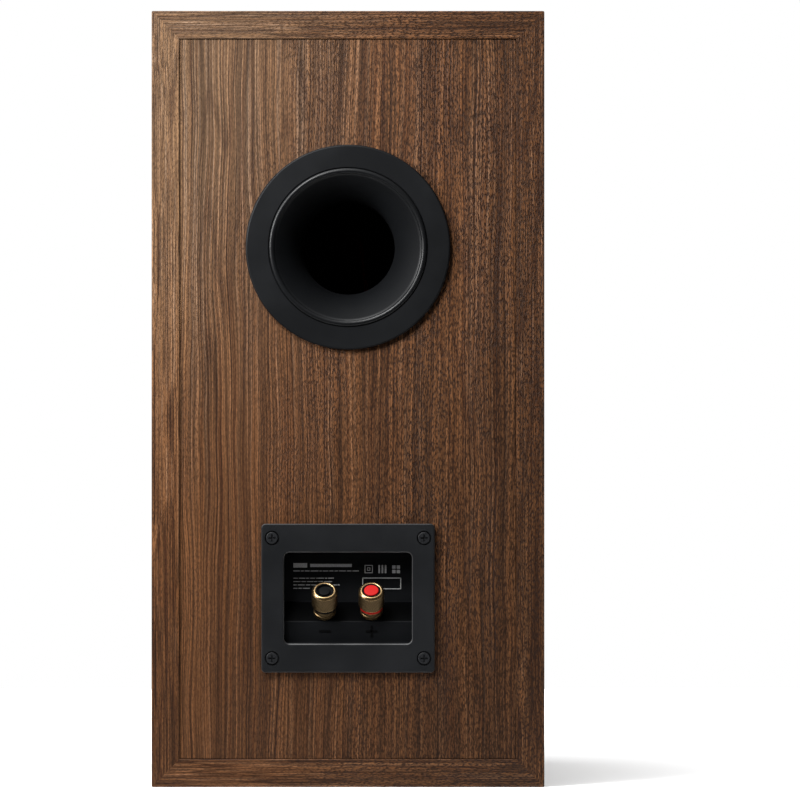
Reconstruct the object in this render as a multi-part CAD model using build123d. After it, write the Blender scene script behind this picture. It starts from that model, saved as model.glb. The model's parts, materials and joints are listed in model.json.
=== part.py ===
from build123d import *
import os
from math import asin, cos, radians, sin, sqrt, tan

# Bookshelf loudspeaker, rear ported, in millimetres.
# Origin: middle of the cabinet's footprint, on the surface it stands on.
# +Z is up, -Y is the front (the side that plays), +X is on the right seen from the front.

# ---- cabinet -----------------------------------------------------------------
WIDTH = 210.0
HEIGHT = 415.0
DEPTH = 315.0
BOARD = 15.0            # thickness of the wrapped boards
BAFFLE = 18.0           # thickness of the front baffle
SLEEVE_EDGE_R = 0.8     # softened long edges of the wrapped sleeve
SLEEVE_REAR_R = 0.5     # softened rear rim, outside
SLEEVE_BEVEL = 0.5      # bevel on the rear rim, inside
BACK_INSET = 1.2        # how far the back board lies below the sleeve's rear rim
BACK_BEVEL = 0.35
BAFFLE_CORNER_R = 3.0
BAFFLE_EDGE_R = 2.5

FRONT = -DEPTH / 2                      # baffle face
BAFFLE_BACK = FRONT + BAFFLE
REAR = DEPTH / 2                        # sleeve's rear rim
BACK_FACE = REAR - BACK_INSET           # outer face of the back board
BACK_INNER = BACK_FACE - BOARD
INNER_W = WIDTH - 2 * BOARD
INNER_H = HEIGHT - 2 * BOARD
MITRE_REACH = 20.0                      # how far the mitre wedges run inside and outside the boards

BRACE_Z = 222.0
BRACE_T = 15.0
BRACE_WINDOW = (110.0, 190.0)
BRACE_WINDOW_R = 20.0
BATTEN = 15.0

FOAM_T = 15.0
FOAM_GAP = 0.5
FOAM_HALF_LENGTH = 118.0
FOAM_LOWER_Z = (18.0, 218.0)
FOAM_UPPER_Z = (241.0, 382.0)

INSERT_SPACING = (120.0, 160.0)         # across, front to back
INSERT_BORE_R = 3.05
INSERT_R = 4.5
INSERT_FLANGE_R = 6.5
INSERT_FLANGE_T = 1.2
INSERT_LENGTH = 12.0

FIT = 0.05                              # radial clearance of a screw or stud in its hole

# ---- port --------------------------------------------------------------------
PORT_Z = 288.7
PORT_PROUD = 3.0                        # trim ring's height above the back board
PORT_RING_R = 54.8
PORT_RING_INNER_R = 42.85
PORT_RING_T = 0.9                       # face of the ring, over the mounting flange
PORT_LIP_R = 42.4                       # outside of the flare's rolled lip
PORT_MOUTH_R = 39.3                     # inside of the lip, where the flare begins
PORT_LIP_CROWN = 0.5                    # how far the lip stands above the trim ring
PORT_THROAT_R = 25.0
PORT_WALL = 2.5
PORT_MOUTH_ANGLE = 55.0                 # flare's slope to the axis at its mouth
PORT_MOUTH_DEPTH = 0.6
PORT_FLANGE_R = 52.0
PORT_HOLE_R = 40.0                      # hole in the back board
PORT_SOCKET_LENGTH = 12.0
PORT_STRAIGHT = 4.0                     # straight stretch between the flare and the tube's end
PORT_TUBE_LENGTH = 84.0
PORT_INNER_MOUTH_R = 37.0
PORT_SCREW_PCD_R = 47.6
PORT_FACE = BACK_FACE + PORT_PROUD

# ---- terminal tray and binding posts -----------------------------------------
TRAY_Z = 101.1
TRAY_PLATE = (92.6, 79.5)
TRAY_CORNER_R = 2.2
TRAY_PLATE_T = 2.2
GASKET_T = 0.8
TRAY_OPENING = (68.4, 48.9)
TRAY_OPENING_R = 3.0
TRAY_WALL = 2.2
TRAY_MOUTH_BEVEL = 0.6
TRAY_DRAFT = 0.9                        # how much each wall leans in over the tray's depth
TRAY_DEEP = 17.0                        # depth of the rear wall that carries the printed panel
TRAY_LEDGE_DEPTH = 6.0                  # depth of the low front ledge with the polarity marks
TRAY_LEDGE_TOP = -12.9                  # height of the ledge's top edge, from the tray's middle
TRAY_CUTOUT = (73.4, 54.0)
TRAY_FACE = BACK_FACE + GASKET_T + TRAY_PLATE_T
TRAY_SCREWS = (81.3, 64.3)
TRAY_SCREW_SINK_R = 3.9
TRAY_SCREW_SINK = 1.5
MARK_LENGTH = 6.0
MARK_WIDTH = 0.9
MARK_HEIGHT = 0.4
MARK_Z = -17.8

POST_X = 12.5                           # each post's distance from the middle
POST_BASE_Z = -7.9                      # base of the posts on the slope, from the tray's middle
POST_TILT = 45.0                        # posts lean up and out by this much
STUD_R = 3.0
STUD_BACK = -11.0
STUD_END = 15.2
BANANA_R = 2.1
BANANA_BOTTOM = 2.0
WIRE_HOLE_R = 1.6
WIRE_HOLE_AT = 6.4
COLLAR_R = 6.0
COLLAR_H = 4.6
WASHER_R = 6.35
WASHER_H = 1.9
CAP_R = 6.8
CAP_H = 10.7
CAP_RIM_R = 6.0
CAP_RIM_H = 0.9
CAP_RECESS_R = 4.4
CAP_RECESS_H = 1.7
STOPPER_HEAD_R = 4.0
STOPPER_PROUD = {1: -0.5, -1: 0.25}     # each stopper's top against its cap's rim, by side
STOPPER_LENGTH = 10.0
POST_GAP = 0.1                          # play between the collar, the washer and the cap
CAP_TOP = COLLAR_H + WASHER_H + CAP_H   # the cap's rim, along the post
TAG_T = 0.8
TAG_R = 6.0
TAG_TAIL = 12.0
NUT_R = 5.8
NUT_H = 4.0
THREAD_FIT = 0.06                       # radial clearance of the cap and washer on the stud

# ---- woofer ------------------------------------------------------------------
# Axial places of both drivers are heights above the baffle's face; below it they are negative.
WOOFER_Z = 130.0
WOOFER_RING = (71.5, 86.5, 2.2)         # inner radius, outer radius, height above the baffle
WOOFER_HOLE_R = 70.0
WOOFER_REBATE = (82.3, 6.0)             # radius, depth
WOOFER_FLANGE = (67.0, 82.0, 4.0)       # inner radius, outer radius, thickness
WOOFER_GASKET_T = 1.0
WOOFER_SEAT = -46.0                     # where the motor's top plate meets the basket
WOOFER_SCREWS = 6
WOOFER_SCREW_R = 77.0
SPOKES = 6
SPOKE_WIDTH = 12.0
SPIDER_SEAT = -35.0
COIL_R = 16.0
POLE_R = 15.2
TOP_PLATE_T = 6.0
MAGNET_T = 16.0
MAGNET_R = (25.0, 50.0)
YOKE_T = 6.0
YOKE_R = 45.0
POLE_VENT_R = 5.0

# ---- tweeter -----------------------------------------------------------------
TWEETER_Z = 300.0
TWEETER_RING = (50.5, 61.5, 2.2)
TWEETER_HOLE_R = 48.0
TWEETER_REBATE = (58.3, 5.0)
TWEETER_FLANGE_R = 58.0
TWEETER_THROAT_R = 15.6
TWEETER_THROAT = -13.0
TWEETER_SEAT = -17.0
TWEETER_MOTOR_R = 36.0
TWEETER_CUP_R = 39.0
TWEETER_CUP_BACK = -48.0
TWEETER_SCREWS = 4
TWEETER_SCREW_R = 54.3
DOME_R = 12.7
DOME_HEIGHT = 5.8
DOME_T = 0.4
DUST_CAP_R = 21.0
DUST_CAP_RISE = 7.0

# ---- screws ------------------------------------------------------------------
SCREW_HEAD_R = 3.2
SCREW_HEAD_H = 1.4
SCREW_SHANK_R = 1.7
SCREW_LENGTH = 13.0
CROSS_LENGTH = 3.9
CROSS_WIDTH = 0.8
CROSS_DEPTH = 0.9

# ---- crossover ---------------------------------------------------------------
PCB = (110.0, 130.0, 1.6)
PCB_MIDDLE_Y = 22.0
STANDOFF_H = 8.0
STANDOFF_R = 3.2
STANDOFF_INSET = 6.0
PCB_BOTTOM = BOARD + STANDOFF_H
PCB_TOP = PCB_BOTTOM + PCB[2]
LEAD_R = 1.3


def slab(sketch, y_low, y_high):
    """An outline drawn in (x, z), filled from y_low to y_high."""
    start = Plane(origin=(0, y_high, 0), x_dir=(1, 0, 0), z_dir=(0, -1, 0))
    return extrude(start * sketch, y_high - y_low)


def outline(*edges):
    """A face inside the closed chain of edges."""
    return make_face(Curve() + list(edges))


def polygon(*points):
    """A face inside straight lines through the points."""
    return make_face(Polyline(*points, close=True))


def turned_y(face, z):
    """A face drawn in (radius, y), turned about the Y axis and lifted to height z."""
    return Pos(0, 0, z) * revolve(face, Axis.Y, 360)


def turned_z(face):
    """A face drawn in (radius, height), turned about the Z axis."""
    return revolve(Plane.XZ * face, Axis.Z, 360)


def ring_y(r_inner, r_outer, y_low, y_high, z):
    """A plain ring about a line along Y at height z."""
    return turned_y(polygon((r_inner, y_low), (r_outer, y_low), (r_outer, y_high), (r_inner, y_high)), z)


def round_places(radius, count, start_deg=0.0):
    """Points (x, z) evenly spaced on a circle."""
    turns = [radians(start_deg + 360.0 * i / count) for i in range(count)]
    return [(radius * cos(a), radius * sin(a)) for a in turns]


def corner_places(spacing):
    """The four corners (u, v) of a rectangle about the origin."""
    return [(i * spacing[0] / 2, j * spacing[1] / 2) for i in (-1, 1) for j in (-1, 1)]


def drill_y(radius, x, z, y_low, y_high):
    """A round drill along Y."""
    return slab(Pos(x, z) * Circle(radius), y_low, y_high)


def group(solids):
    """Separate solids that share one node."""
    return Compound(children=list(solids))


# ---- cabinet -----------------------------------------------------------------
def sleeve():
    """The wrapped sleeve before it is cut into four mitred boards."""
    outside = Pos(0, HEIGHT / 2) * RectangleRounded(WIDTH, HEIGHT, SLEEVE_EDGE_R)
    inside = Pos(0, HEIGHT / 2) * Rectangle(INNER_W, INNER_H)
    block = slab(outside, BAFFLE_BACK, REAR)
    rear_edges = block.faces().sort_by(Axis.Y)[-1].edges()
    block = fillet(rear_edges, SLEEVE_REAR_R)
    block -= slab(inside, BAFFLE_BACK, REAR)
    rear_face = block.faces().sort_by(Axis.Y)[-1]
    return chamfer(rear_face.inner_wires()[0].edges(), SLEEVE_BEVEL)


def mitre_wedge(side):
    """The outline (x, z) that keeps one board of the sleeve; side is top, bottom, left or right."""
    out, into = MITRE_REACH, MITRE_REACH + BOARD
    half, low, high = WIDTH / 2, 0.0, HEIGHT
    corners = {
        "top": ((-half - out, high + out), (-half + into, high - into),
                (half - into, high - into), (half + out, high + out)),
        "bottom": ((-half - out, low - out), (-half + into, low + into),
                   (half - into, low + into), (half + out, low - out)),
        "left": ((-half - out, low - out), (-half + into, low + into),
                 (-half + into, high - into), (-half - out, high + out)),
        "right": ((half + out, low - out), (half - into, low + into),
                  (half - into, high - into), (half + out, high + out)),
    }
    return polygon(*corners[side])


def sleeve_board(whole, side):
    """One mitred board of the sleeve."""
    return whole & slab(mitre_wedge(side), BAFFLE_BACK - 1, REAR + 1)


def bottom_panel(whole):
    """The bottom board, drilled and counterbored for the stand inserts."""
    board = sleeve_board(whole, "bottom")
    for x, y in corner_places(INSERT_SPACING):
        board -= Pos(x, y, BOARD / 2) * Cylinder(INSERT_R + FIT, BOARD + 2)
        board -= Pos(x, y, INSERT_FLANGE_T / 2) * Cylinder(INSERT_FLANGE_R + FIT, INSERT_FLANGE_T)
    return board


def stand_inserts():
    """Flanged brass inserts for a stand's screws, let in from below."""
    face = polygon(
        (INSERT_BORE_R, 0), (INSERT_FLANGE_R, 0), (INSERT_FLANGE_R, INSERT_FLANGE_T),
        (INSERT_R, INSERT_FLANGE_T), (INSERT_R, INSERT_LENGTH), (INSERT_BORE_R, INSERT_LENGTH),
    )
    one = turned_z(face)
    return group(Pos(x, y, 0) * one for x, y in corner_places(INSERT_SPACING))


def back_panel():
    """The inset back board, with its port hole, terminal cut-out and pilot holes."""
    board = slab(Pos(0, HEIGHT / 2) * Rectangle(INNER_W, INNER_H), BACK_INNER, BACK_FACE)
    board = chamfer(board.faces().sort_by(Axis.Y)[-1].edges(), BACK_BEVEL)
    board -= drill_y(PORT_HOLE_R, 0, PORT_Z, BACK_INNER - 1, BACK_FACE + 1)
    cutout = Pos(0, TRAY_Z) * RectangleRounded(*TRAY_CUTOUT, TRAY_OPENING_R)
    board -= slab(cutout, BACK_INNER - 1, BACK_FACE + 1)
    pilot = SCREW_SHANK_R + FIT
    for x, z in corner_places(TRAY_SCREWS):
        board -= drill_y(pilot, x, TRAY_Z + z, BACK_INNER - 1, BACK_FACE + 1)
    for x, z in round_places(PORT_SCREW_PCD_R, 4, 45):
        board -= drill_y(pilot, x, PORT_Z + z, BACK_INNER - 1, BACK_FACE + 1)
    return board


def front_baffle():
    """The front board, rebated for both drivers."""
    sketch = Pos(0, HEIGHT / 2) * RectangleRounded(WIDTH, HEIGHT, BAFFLE_CORNER_R)
    board = slab(sketch, FRONT, BAFFLE_BACK)
    board = fillet(board.faces().sort_by(Axis.Y)[0].edges(), BAFFLE_EDGE_R)
    pilot = SCREW_SHANK_R + FIT
    for z, hole, rebate, count, pcd_r in (
        (WOOFER_Z, WOOFER_HOLE_R, WOOFER_REBATE, WOOFER_SCREWS, WOOFER_SCREW_R),
        (TWEETER_Z, TWEETER_HOLE_R, TWEETER_REBATE, TWEETER_SCREWS, TWEETER_SCREW_R),
    ):
        board -= drill_y(hole, 0, z, FRONT - 1, BAFFLE_BACK + 1)
        board -= drill_y(rebate[0], 0, z, FRONT - 1, FRONT + rebate[1])
        for x, dz in round_places(pcd_r, count, 30):
            board -= drill_y(pilot, x, z + dz, FRONT, BAFFLE_BACK - 1)
    return board


def window_brace():
    """The shelf brace between the drivers, with one large window."""
    length = BACK_INNER - BAFFLE_BACK
    middle_y = (BACK_INNER + BAFFLE_BACK) / 2
    board = Pos(0, middle_y, BRACE_Z + BRACE_T / 2) * Box(INNER_W, length, BRACE_T)
    window = extrude(RectangleRounded(*BRACE_WINDOW, BRACE_WINDOW_R), BRACE_T + 2)
    return board - Pos(0, middle_y, BRACE_Z - 1) * window


def back_battens():
    """Glue blocks behind the back board, below and above the brace."""
    spans = ((BOARD, BRACE_Z), (BRACE_Z + BRACE_T, HEIGHT - BOARD))
    blocks = []
    for low, high in spans:
        for side in (-1, 1):
            place = Pos(side * (INNER_W - BATTEN) / 2, BACK_INNER - BATTEN / 2, (low + high) / 2)
            blocks.append(place * Box(BATTEN, BATTEN, high - low))
    return group(blocks)


def foam_lining():
    """Pads of acoustic foam on both side walls, below and above the brace, and under the top."""
    pads = []
    x = INNER_W / 2 - FOAM_GAP - FOAM_T / 2
    for low, high in (FOAM_LOWER_Z, FOAM_UPPER_Z):
        for side in (-1, 1):
            pads.append(Pos(side * x, 0, (low + high) / 2) * Box(FOAM_T, 2 * FOAM_HALF_LENGTH, high - low))
    width = INNER_W - 2 * FOAM_T - 4 * FOAM_GAP
    pads.append(Pos(0, 0, HEIGHT - BOARD - FOAM_GAP - FOAM_T / 2) * Box(width, 2 * FOAM_HALF_LENGTH, FOAM_T))
    return group(pads)


# ---- port --------------------------------------------------------------------
def flare_arc(mouth_r, throat_r, angle_deg, mouth_y, inward):
    """Radius and end of the arc that leaves the tube's line and opens to mouth_r at angle_deg to it."""
    a = radians(angle_deg)
    arc_r = (mouth_r - throat_r) / (1 - cos(a))
    throat_y = mouth_y + inward * arc_r * sin(a)
    middle = (throat_r + arc_r * (1 - cos(a / 2)), throat_y - inward * arc_r * sin(a / 2))
    return arc_r, throat_y, middle


PORT_MOUTH_Y = PORT_FACE - PORT_MOUTH_DEPTH
PORT_ARC_R, PORT_THROAT_Y, PORT_ARC_MIDDLE = flare_arc(
    PORT_MOUTH_R, PORT_THROAT_R, PORT_MOUTH_ANGLE, PORT_MOUTH_Y, -1
)
PORT_TUBE_END = PORT_THROAT_Y - PORT_STRAIGHT           # where the tube begins, inside its socket
PORT_TUBE_TIP = PORT_TUBE_END - PORT_TUBE_LENGTH


def port_trim_ring():
    """The flat ring that covers the port's mounting flange and screws."""
    face = PORT_FACE
    soft = 1.0
    ring = turned_y(
        polygon(
            (PORT_RING_INNER_R, face), (PORT_RING_R, face), (PORT_RING_R, BACK_FACE),
            (PORT_FLANGE_R + 0.3, BACK_FACE), (PORT_FLANGE_R + 0.3, face - PORT_RING_T),
            (PORT_RING_INNER_R, face - PORT_RING_T),
        ),
        PORT_Z,
    )
    outer_edge = ring.edges().filter_by(GeomType.CIRCLE).group_by(Axis.Y)[-1].sort_by(SortBy.RADIUS)[-1]
    return fillet(outer_edge, soft)


def port_flare():
    """The flared mouth: rolled lip, flare, mounting flange and the socket for the tube."""
    lip_top = (0.5 * (PORT_LIP_R + PORT_MOUTH_R), PORT_FACE + PORT_LIP_CROWN)
    flange_top = PORT_FACE - PORT_RING_T - 0.1
    wall_r = PORT_THROAT_R + PORT_WALL
    socket_r = wall_r + PORT_WALL
    socket_end = PORT_TUBE_END - PORT_SOCKET_LENGTH
    outer_arc_r = PORT_ARC_R - PORT_WALL
    neck = radians(45.0)
    neck_r = PORT_THROAT_R + PORT_ARC_R - outer_arc_r * cos(neck)
    neck_y = PORT_THROAT_Y + outer_arc_r * sin(neck)
    arc_foot = sqrt(outer_arc_r**2 - (PORT_ARC_R - (socket_r - PORT_THROAT_R)) ** 2)
    foot_y = PORT_THROAT_Y + arc_foot
    turn = 0.5 * (neck_y - foot_y)
    mid_y = foot_y + turn
    mid_r = PORT_THROAT_R + PORT_ARC_R - sqrt(outer_arc_r**2 - (mid_y - PORT_THROAT_Y) ** 2)
    face = outline(
        ThreePointArc((PORT_MOUTH_R, PORT_MOUTH_Y), lip_top, (PORT_LIP_R, PORT_MOUTH_Y)),
        Line((PORT_LIP_R, PORT_MOUTH_Y), (PORT_LIP_R, flange_top)),
        Line((PORT_LIP_R, flange_top), (PORT_FLANGE_R, flange_top)),
        Line((PORT_FLANGE_R, flange_top), (PORT_FLANGE_R, BACK_FACE)),
        Line((PORT_FLANGE_R, BACK_FACE), (neck_r, BACK_FACE)),
        Line((neck_r, BACK_FACE), (neck_r, neck_y)),
        ThreePointArc((neck_r, neck_y), (mid_r, mid_y), (socket_r, foot_y)),
        Line((socket_r, foot_y), (socket_r, socket_end)),
        Line((socket_r, socket_end), (wall_r + FIT, socket_end)),
        Line((wall_r + FIT, socket_end), (wall_r + FIT, PORT_TUBE_END)),
        Line((wall_r + FIT, PORT_TUBE_END), (PORT_THROAT_R, PORT_TUBE_END)),
        Line((PORT_THROAT_R, PORT_TUBE_END), (PORT_THROAT_R, PORT_THROAT_Y)),
        ThreePointArc((PORT_THROAT_R, PORT_THROAT_Y), PORT_ARC_MIDDLE, (PORT_MOUTH_R, PORT_MOUTH_Y)),
    )
    body = turned_y(face, PORT_Z)
    for x, z in round_places(PORT_SCREW_PCD_R, 4, 45):
        body -= drill_y(SCREW_SHANK_R + FIT, x, PORT_Z + z, BACK_FACE - 1, flange_top + 1)
        body -= drill_y(SCREW_HEAD_R + FIT, x, PORT_Z + z, flange_top - SCREW_HEAD_H, flange_top + 1)
    return body


def port_tube():
    """The straight tube, with a turned-down end that the inner flare slips over."""
    return ring_y(PORT_THROAT_R, PORT_THROAT_R + PORT_WALL, PORT_TUBE_TIP, PORT_TUBE_END, PORT_Z)


def port_inner_flare():
    """The flare on the tube's inner end, with a socket over the tube."""
    arc_r, mouth_y, middle = flare_arc(
        PORT_INNER_MOUTH_R, PORT_THROAT_R, PORT_MOUTH_ANGLE, PORT_TUBE_TIP, 1
    )
    depth = mouth_y - PORT_TUBE_TIP
    tip = PORT_TUBE_TIP - depth
    bow = (middle[0], PORT_TUBE_TIP - (mouth_y - middle[1]))
    wall_r = PORT_THROAT_R + PORT_WALL
    socket_r = wall_r + PORT_WALL
    rim = (PORT_INNER_MOUTH_R + PORT_WALL * cos(radians(PORT_MOUTH_ANGLE)), tip + PORT_WALL * 0.8)
    face = outline(
        ThreePointArc((PORT_THROAT_R, PORT_TUBE_TIP), bow, (PORT_INNER_MOUTH_R, tip)),
        Line((PORT_INNER_MOUTH_R, tip), rim),
        ThreePointArc(
            rim,
            (bow[0] + PORT_WALL * 0.85, bow[1] + PORT_WALL * 0.5),
            (socket_r, PORT_TUBE_TIP - PORT_WALL * 0.6),
        ),
        Line((socket_r, PORT_TUBE_TIP - PORT_WALL * 0.6), (socket_r, PORT_TUBE_TIP + PORT_SOCKET_LENGTH)),
        Line((socket_r, PORT_TUBE_TIP + PORT_SOCKET_LENGTH), (wall_r + FIT, PORT_TUBE_TIP + PORT_SOCKET_LENGTH)),
        Line((wall_r + FIT, PORT_TUBE_TIP + PORT_SOCKET_LENGTH), (wall_r + FIT, PORT_TUBE_TIP)),
        Line((wall_r + FIT, PORT_TUBE_TIP), (PORT_THROAT_R, PORT_TUBE_TIP)),
    )
    return turned_y(face, PORT_Z)


# ---- screws ------------------------------------------------------------------
def cross_screw(length=SCREW_LENGTH):
    """A cross-head screw standing along +Z: the head's top is at zero and the shank runs down."""
    head = Pos(0, 0, -SCREW_HEAD_H / 2) * Cylinder(SCREW_HEAD_R, SCREW_HEAD_H)
    head = fillet(head.edges().group_by(Axis.Z)[-1], SCREW_HEAD_H * 0.3)
    shank_top = -SCREW_HEAD_H
    shank = Pos(0, 0, shank_top - length / 2) * Cylinder(SCREW_SHANK_R, length)
    tip = Pos(0, 0, shank_top - length - SCREW_SHANK_R) * Cone(0.2, SCREW_SHANK_R, 2 * SCREW_SHANK_R)
    cross = Box(CROSS_LENGTH, CROSS_WIDTH, 2 * CROSS_DEPTH) + Box(CROSS_WIDTH, CROSS_LENGTH, 2 * CROSS_DEPTH)
    return head + shank + tip - cross


def face_outward(screw, x, y, z, toward):
    """Stands a screw so that its head faces along Y; toward is 1 for the rear and -1 for the front."""
    turn = Rot(-90 * toward, 0, 0)
    return Pos(x, y, z) * turn * screw


def terminal_screws():
    """The four screws in the corners of the terminal tray."""
    y = TRAY_FACE - TRAY_SCREW_SINK + SCREW_HEAD_H
    screw = cross_screw()
    return group(face_outward(screw, x, y, TRAY_Z + z, 1) for x, z in corner_places(TRAY_SCREWS))


def port_screws():
    """The four screws of the port's flange, hidden by the trim ring."""
    y = PORT_FACE - PORT_RING_T - 0.1
    screw = cross_screw(SCREW_LENGTH - 3)
    return group(face_outward(screw, x, y, PORT_Z + z, 1) for x, z in round_places(PORT_SCREW_PCD_R, 4, 45))


def driver_screws():
    """The screws of the woofer and the tweeter, hidden by their trim rings."""
    screw = cross_screw(SCREW_LENGTH - 2)
    y = FRONT + 1.0
    places = [(x, WOOFER_Z + z) for x, z in round_places(WOOFER_SCREW_R, WOOFER_SCREWS, 30)]
    places += [(x, TWEETER_Z + z) for x, z in round_places(TWEETER_SCREW_R, TWEETER_SCREWS, 30)]
    return group(face_outward(screw, x, y, z, -1) for x, z in places)


# ---- terminal tray and binding posts -----------------------------------------
def tray_profile(grow):
    """The tray's section in (y, z) from its middle, grown outwards by grow."""
    half = TRAY_OPENING[1] / 2
    slope_top = TRAY_LEDGE_TOP + (TRAY_DEEP - TRAY_LEDGE_DEPTH)
    corner = grow * tan(radians(22.5))
    front = TRAY_FACE + 1
    return polygon(
        (front, half + grow),
        (TRAY_FACE, half + grow),
        (TRAY_FACE - TRAY_DEEP - grow, half - TRAY_DRAFT + grow),
        (TRAY_FACE - TRAY_DEEP - grow, slope_top - corner),
        (TRAY_FACE - TRAY_LEDGE_DEPTH - grow, TRAY_LEDGE_TOP - corner),
        (TRAY_FACE - TRAY_LEDGE_DEPTH - grow, -half + TRAY_DRAFT - grow),
        (TRAY_FACE, -half - grow),
        (front, -half - grow),
    )


def tray_block(grow):
    """The tray's cavity, or its outside when grown by the wall."""
    width = TRAY_OPENING[0] + 2 * grow
    plane = Plane(origin=(-width / 2, 0, TRAY_Z), x_dir=(0, 1, 0), z_dir=(1, 0, 0))
    block = extrude(plane * tray_profile(grow), width)
    mouth = Pos(0, TRAY_Z) * RectangleRounded(width, TRAY_OPENING[1] + 2 * grow, TRAY_OPENING_R + grow)
    return block & slab(mouth, BACK_INNER - TRAY_DEEP, TRAY_FACE + 1)


def polarity_marks():
    """The raised minus and plus on the ledge, under their posts."""
    face_y = TRAY_FACE - TRAY_LEDGE_DEPTH
    minus = Pos(POST_X, TRAY_Z + MARK_Z) * Rectangle(MARK_LENGTH, MARK_WIDTH)
    plus = Pos(-POST_X, TRAY_Z + MARK_Z) * (
        Rectangle(MARK_LENGTH, MARK_WIDTH) + Rectangle(MARK_WIDTH, MARK_LENGTH)
    )
    return slab(minus, face_y - 0.5, face_y + MARK_HEIGHT) + slab(plus, face_y - 0.5, face_y + MARK_HEIGHT)


def terminal_tray():
    """The moulded plate with its sunken tray, drilled for the posts and the screws."""
    sketch = Pos(0, TRAY_Z) * RectangleRounded(*TRAY_PLATE, TRAY_CORNER_R)
    plate = slab(sketch, TRAY_FACE - TRAY_PLATE_T, TRAY_FACE)
    plate = fillet(plate.faces().sort_by(Axis.Y)[-1].edges(), 0.7)
    outside = tray_block(TRAY_WALL) & slab(sketch, BACK_INNER - TRAY_DEEP, TRAY_FACE - TRAY_PLATE_T)
    body = plate + outside - tray_block(0.0)
    soft = TRAY_MOUTH_BEVEL
    mouth = RectangleRounded(TRAY_OPENING[0] + 2 * soft, TRAY_OPENING[1] + 2 * soft, TRAY_OPENING_R + soft)
    start = Plane(origin=(0, TRAY_FACE, TRAY_Z), x_dir=(1, 0, 0), z_dir=(0, -1, 0))
    body -= extrude(start * mouth, 2 * soft, taper=45)
    body += polarity_marks()
    for x, z in corner_places(TRAY_SCREWS):
        body -= drill_y(SCREW_SHANK_R + FIT, x, TRAY_Z + z, BACK_FACE, TRAY_FACE + 1)
        body -= drill_y(TRAY_SCREW_SINK_R, x, TRAY_Z + z, TRAY_FACE - TRAY_SCREW_SINK, TRAY_FACE + 1)
    for side in (-1, 1):
        drill = Pos(0, 0, -TRAY_WALL) * Cylinder(STUD_R + THREAD_FIT, 4 * TRAY_WALL)
        body -= post_place(side) * drill
    return body


def terminal_gasket():
    """The foam gasket under the tray's plate."""
    rim = 0.8
    sketch = RectangleRounded(TRAY_PLATE[0] - 2 * rim, TRAY_PLATE[1] - 2 * rim, TRAY_CORNER_R)
    sketch -= RectangleRounded(*TRAY_CUTOUT, TRAY_OPENING_R)
    for x, z in corner_places(TRAY_SCREWS):
        sketch -= Pos(x, z) * Circle(SCREW_SHANK_R + FIT)
    return slab(Pos(0, TRAY_Z) * sketch, BACK_FACE, BACK_FACE + GASKET_T)


def post_place(side):
    """The place of a post's base on the slope; its own +Z runs along the post, up and out."""
    depth = TRAY_LEDGE_DEPTH + (POST_BASE_Z - TRAY_LEDGE_TOP)
    tilt = radians(POST_TILT)
    origin = (side * POST_X, TRAY_FACE - depth, TRAY_Z + POST_BASE_Z)
    return Plane(origin=origin, x_dir=(1, 0, 0), z_dir=(0, sin(tilt), cos(tilt))).location


def post_stud():
    """The hollow stud: banana socket from its end, wire hole across it."""
    soft = 0.4
    stud = Pos(0, 0, (STUD_BACK + STUD_END) / 2) * Cylinder(STUD_R, STUD_END - STUD_BACK)
    stud = chamfer(stud.edges().filter_by(GeomType.CIRCLE), soft)
    bore_length = STUD_END - BANANA_BOTTOM + 1
    stud -= Pos(0, 0, BANANA_BOTTOM + bore_length / 2) * Cylinder(BANANA_R, bore_length)
    return stud - Pos(0, 0, WIRE_HOLE_AT) * Rot(0, 90, 0) * Cylinder(WIRE_HOLE_R, 4 * STUD_R)


def post_collar():
    """The fixed collar at the foot of a post, with one turned groove."""
    groove, r_in = 0.45, STUD_R + THREAD_FIT
    middle = COLLAR_H * 0.55
    return turned_z(
        polygon(
            (r_in, 0), (COLLAR_R - 0.3, 0), (COLLAR_R, 0.3), (COLLAR_R, middle - groove),
            (COLLAR_R - groove, middle), (COLLAR_R, middle + groove), (COLLAR_R, COLLAR_H - 0.3),
            (COLLAR_R - 0.3, COLLAR_H), (r_in, COLLAR_H),
        )
    )


def clamp_washer():
    """The coloured washer that the cap presses on the wire."""
    r_in, low, high = STUD_R + THREAD_FIT, COLLAR_H + POST_GAP, COLLAR_H + WASHER_H
    soft = 0.35
    return turned_z(
        polygon(
            (r_in, low), (WASHER_R - soft, low), (WASHER_R, low + soft), (WASHER_R, high - soft),
            (WASHER_R - soft, high), (r_in, high),
        )
    )


def post_cap():
    """The screw cap: a hollow nut with a rounded rim round a sunken end."""
    r_in, low = STUD_R + THREAD_FIT, COLLAR_H + WASHER_H + POST_GAP
    high = CAP_TOP
    floor = high - CAP_RECESS_H
    bend = (CAP_R - 0.18, high - 0.32)
    face = outline(
        Line((r_in, low), (CAP_R - 0.5, low)),
        Line((CAP_R - 0.5, low), (CAP_R, low + 0.5)),
        Line((CAP_R, low + 0.5), (CAP_R, high - CAP_RIM_H)),
        ThreePointArc((CAP_R, high - CAP_RIM_H), bend, (CAP_RIM_R, high)),
        Line((CAP_RIM_R, high), (CAP_RECESS_R + 0.2, high)),
        Line((CAP_RECESS_R + 0.2, high), (CAP_RECESS_R, high - 0.2)),
        Line((CAP_RECESS_R, high - 0.2), (CAP_RECESS_R, floor)),
        Line((CAP_RECESS_R, floor), (r_in, floor)),
        Line((r_in, floor), (r_in, low)),
    )
    return turned_z(face)


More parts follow.
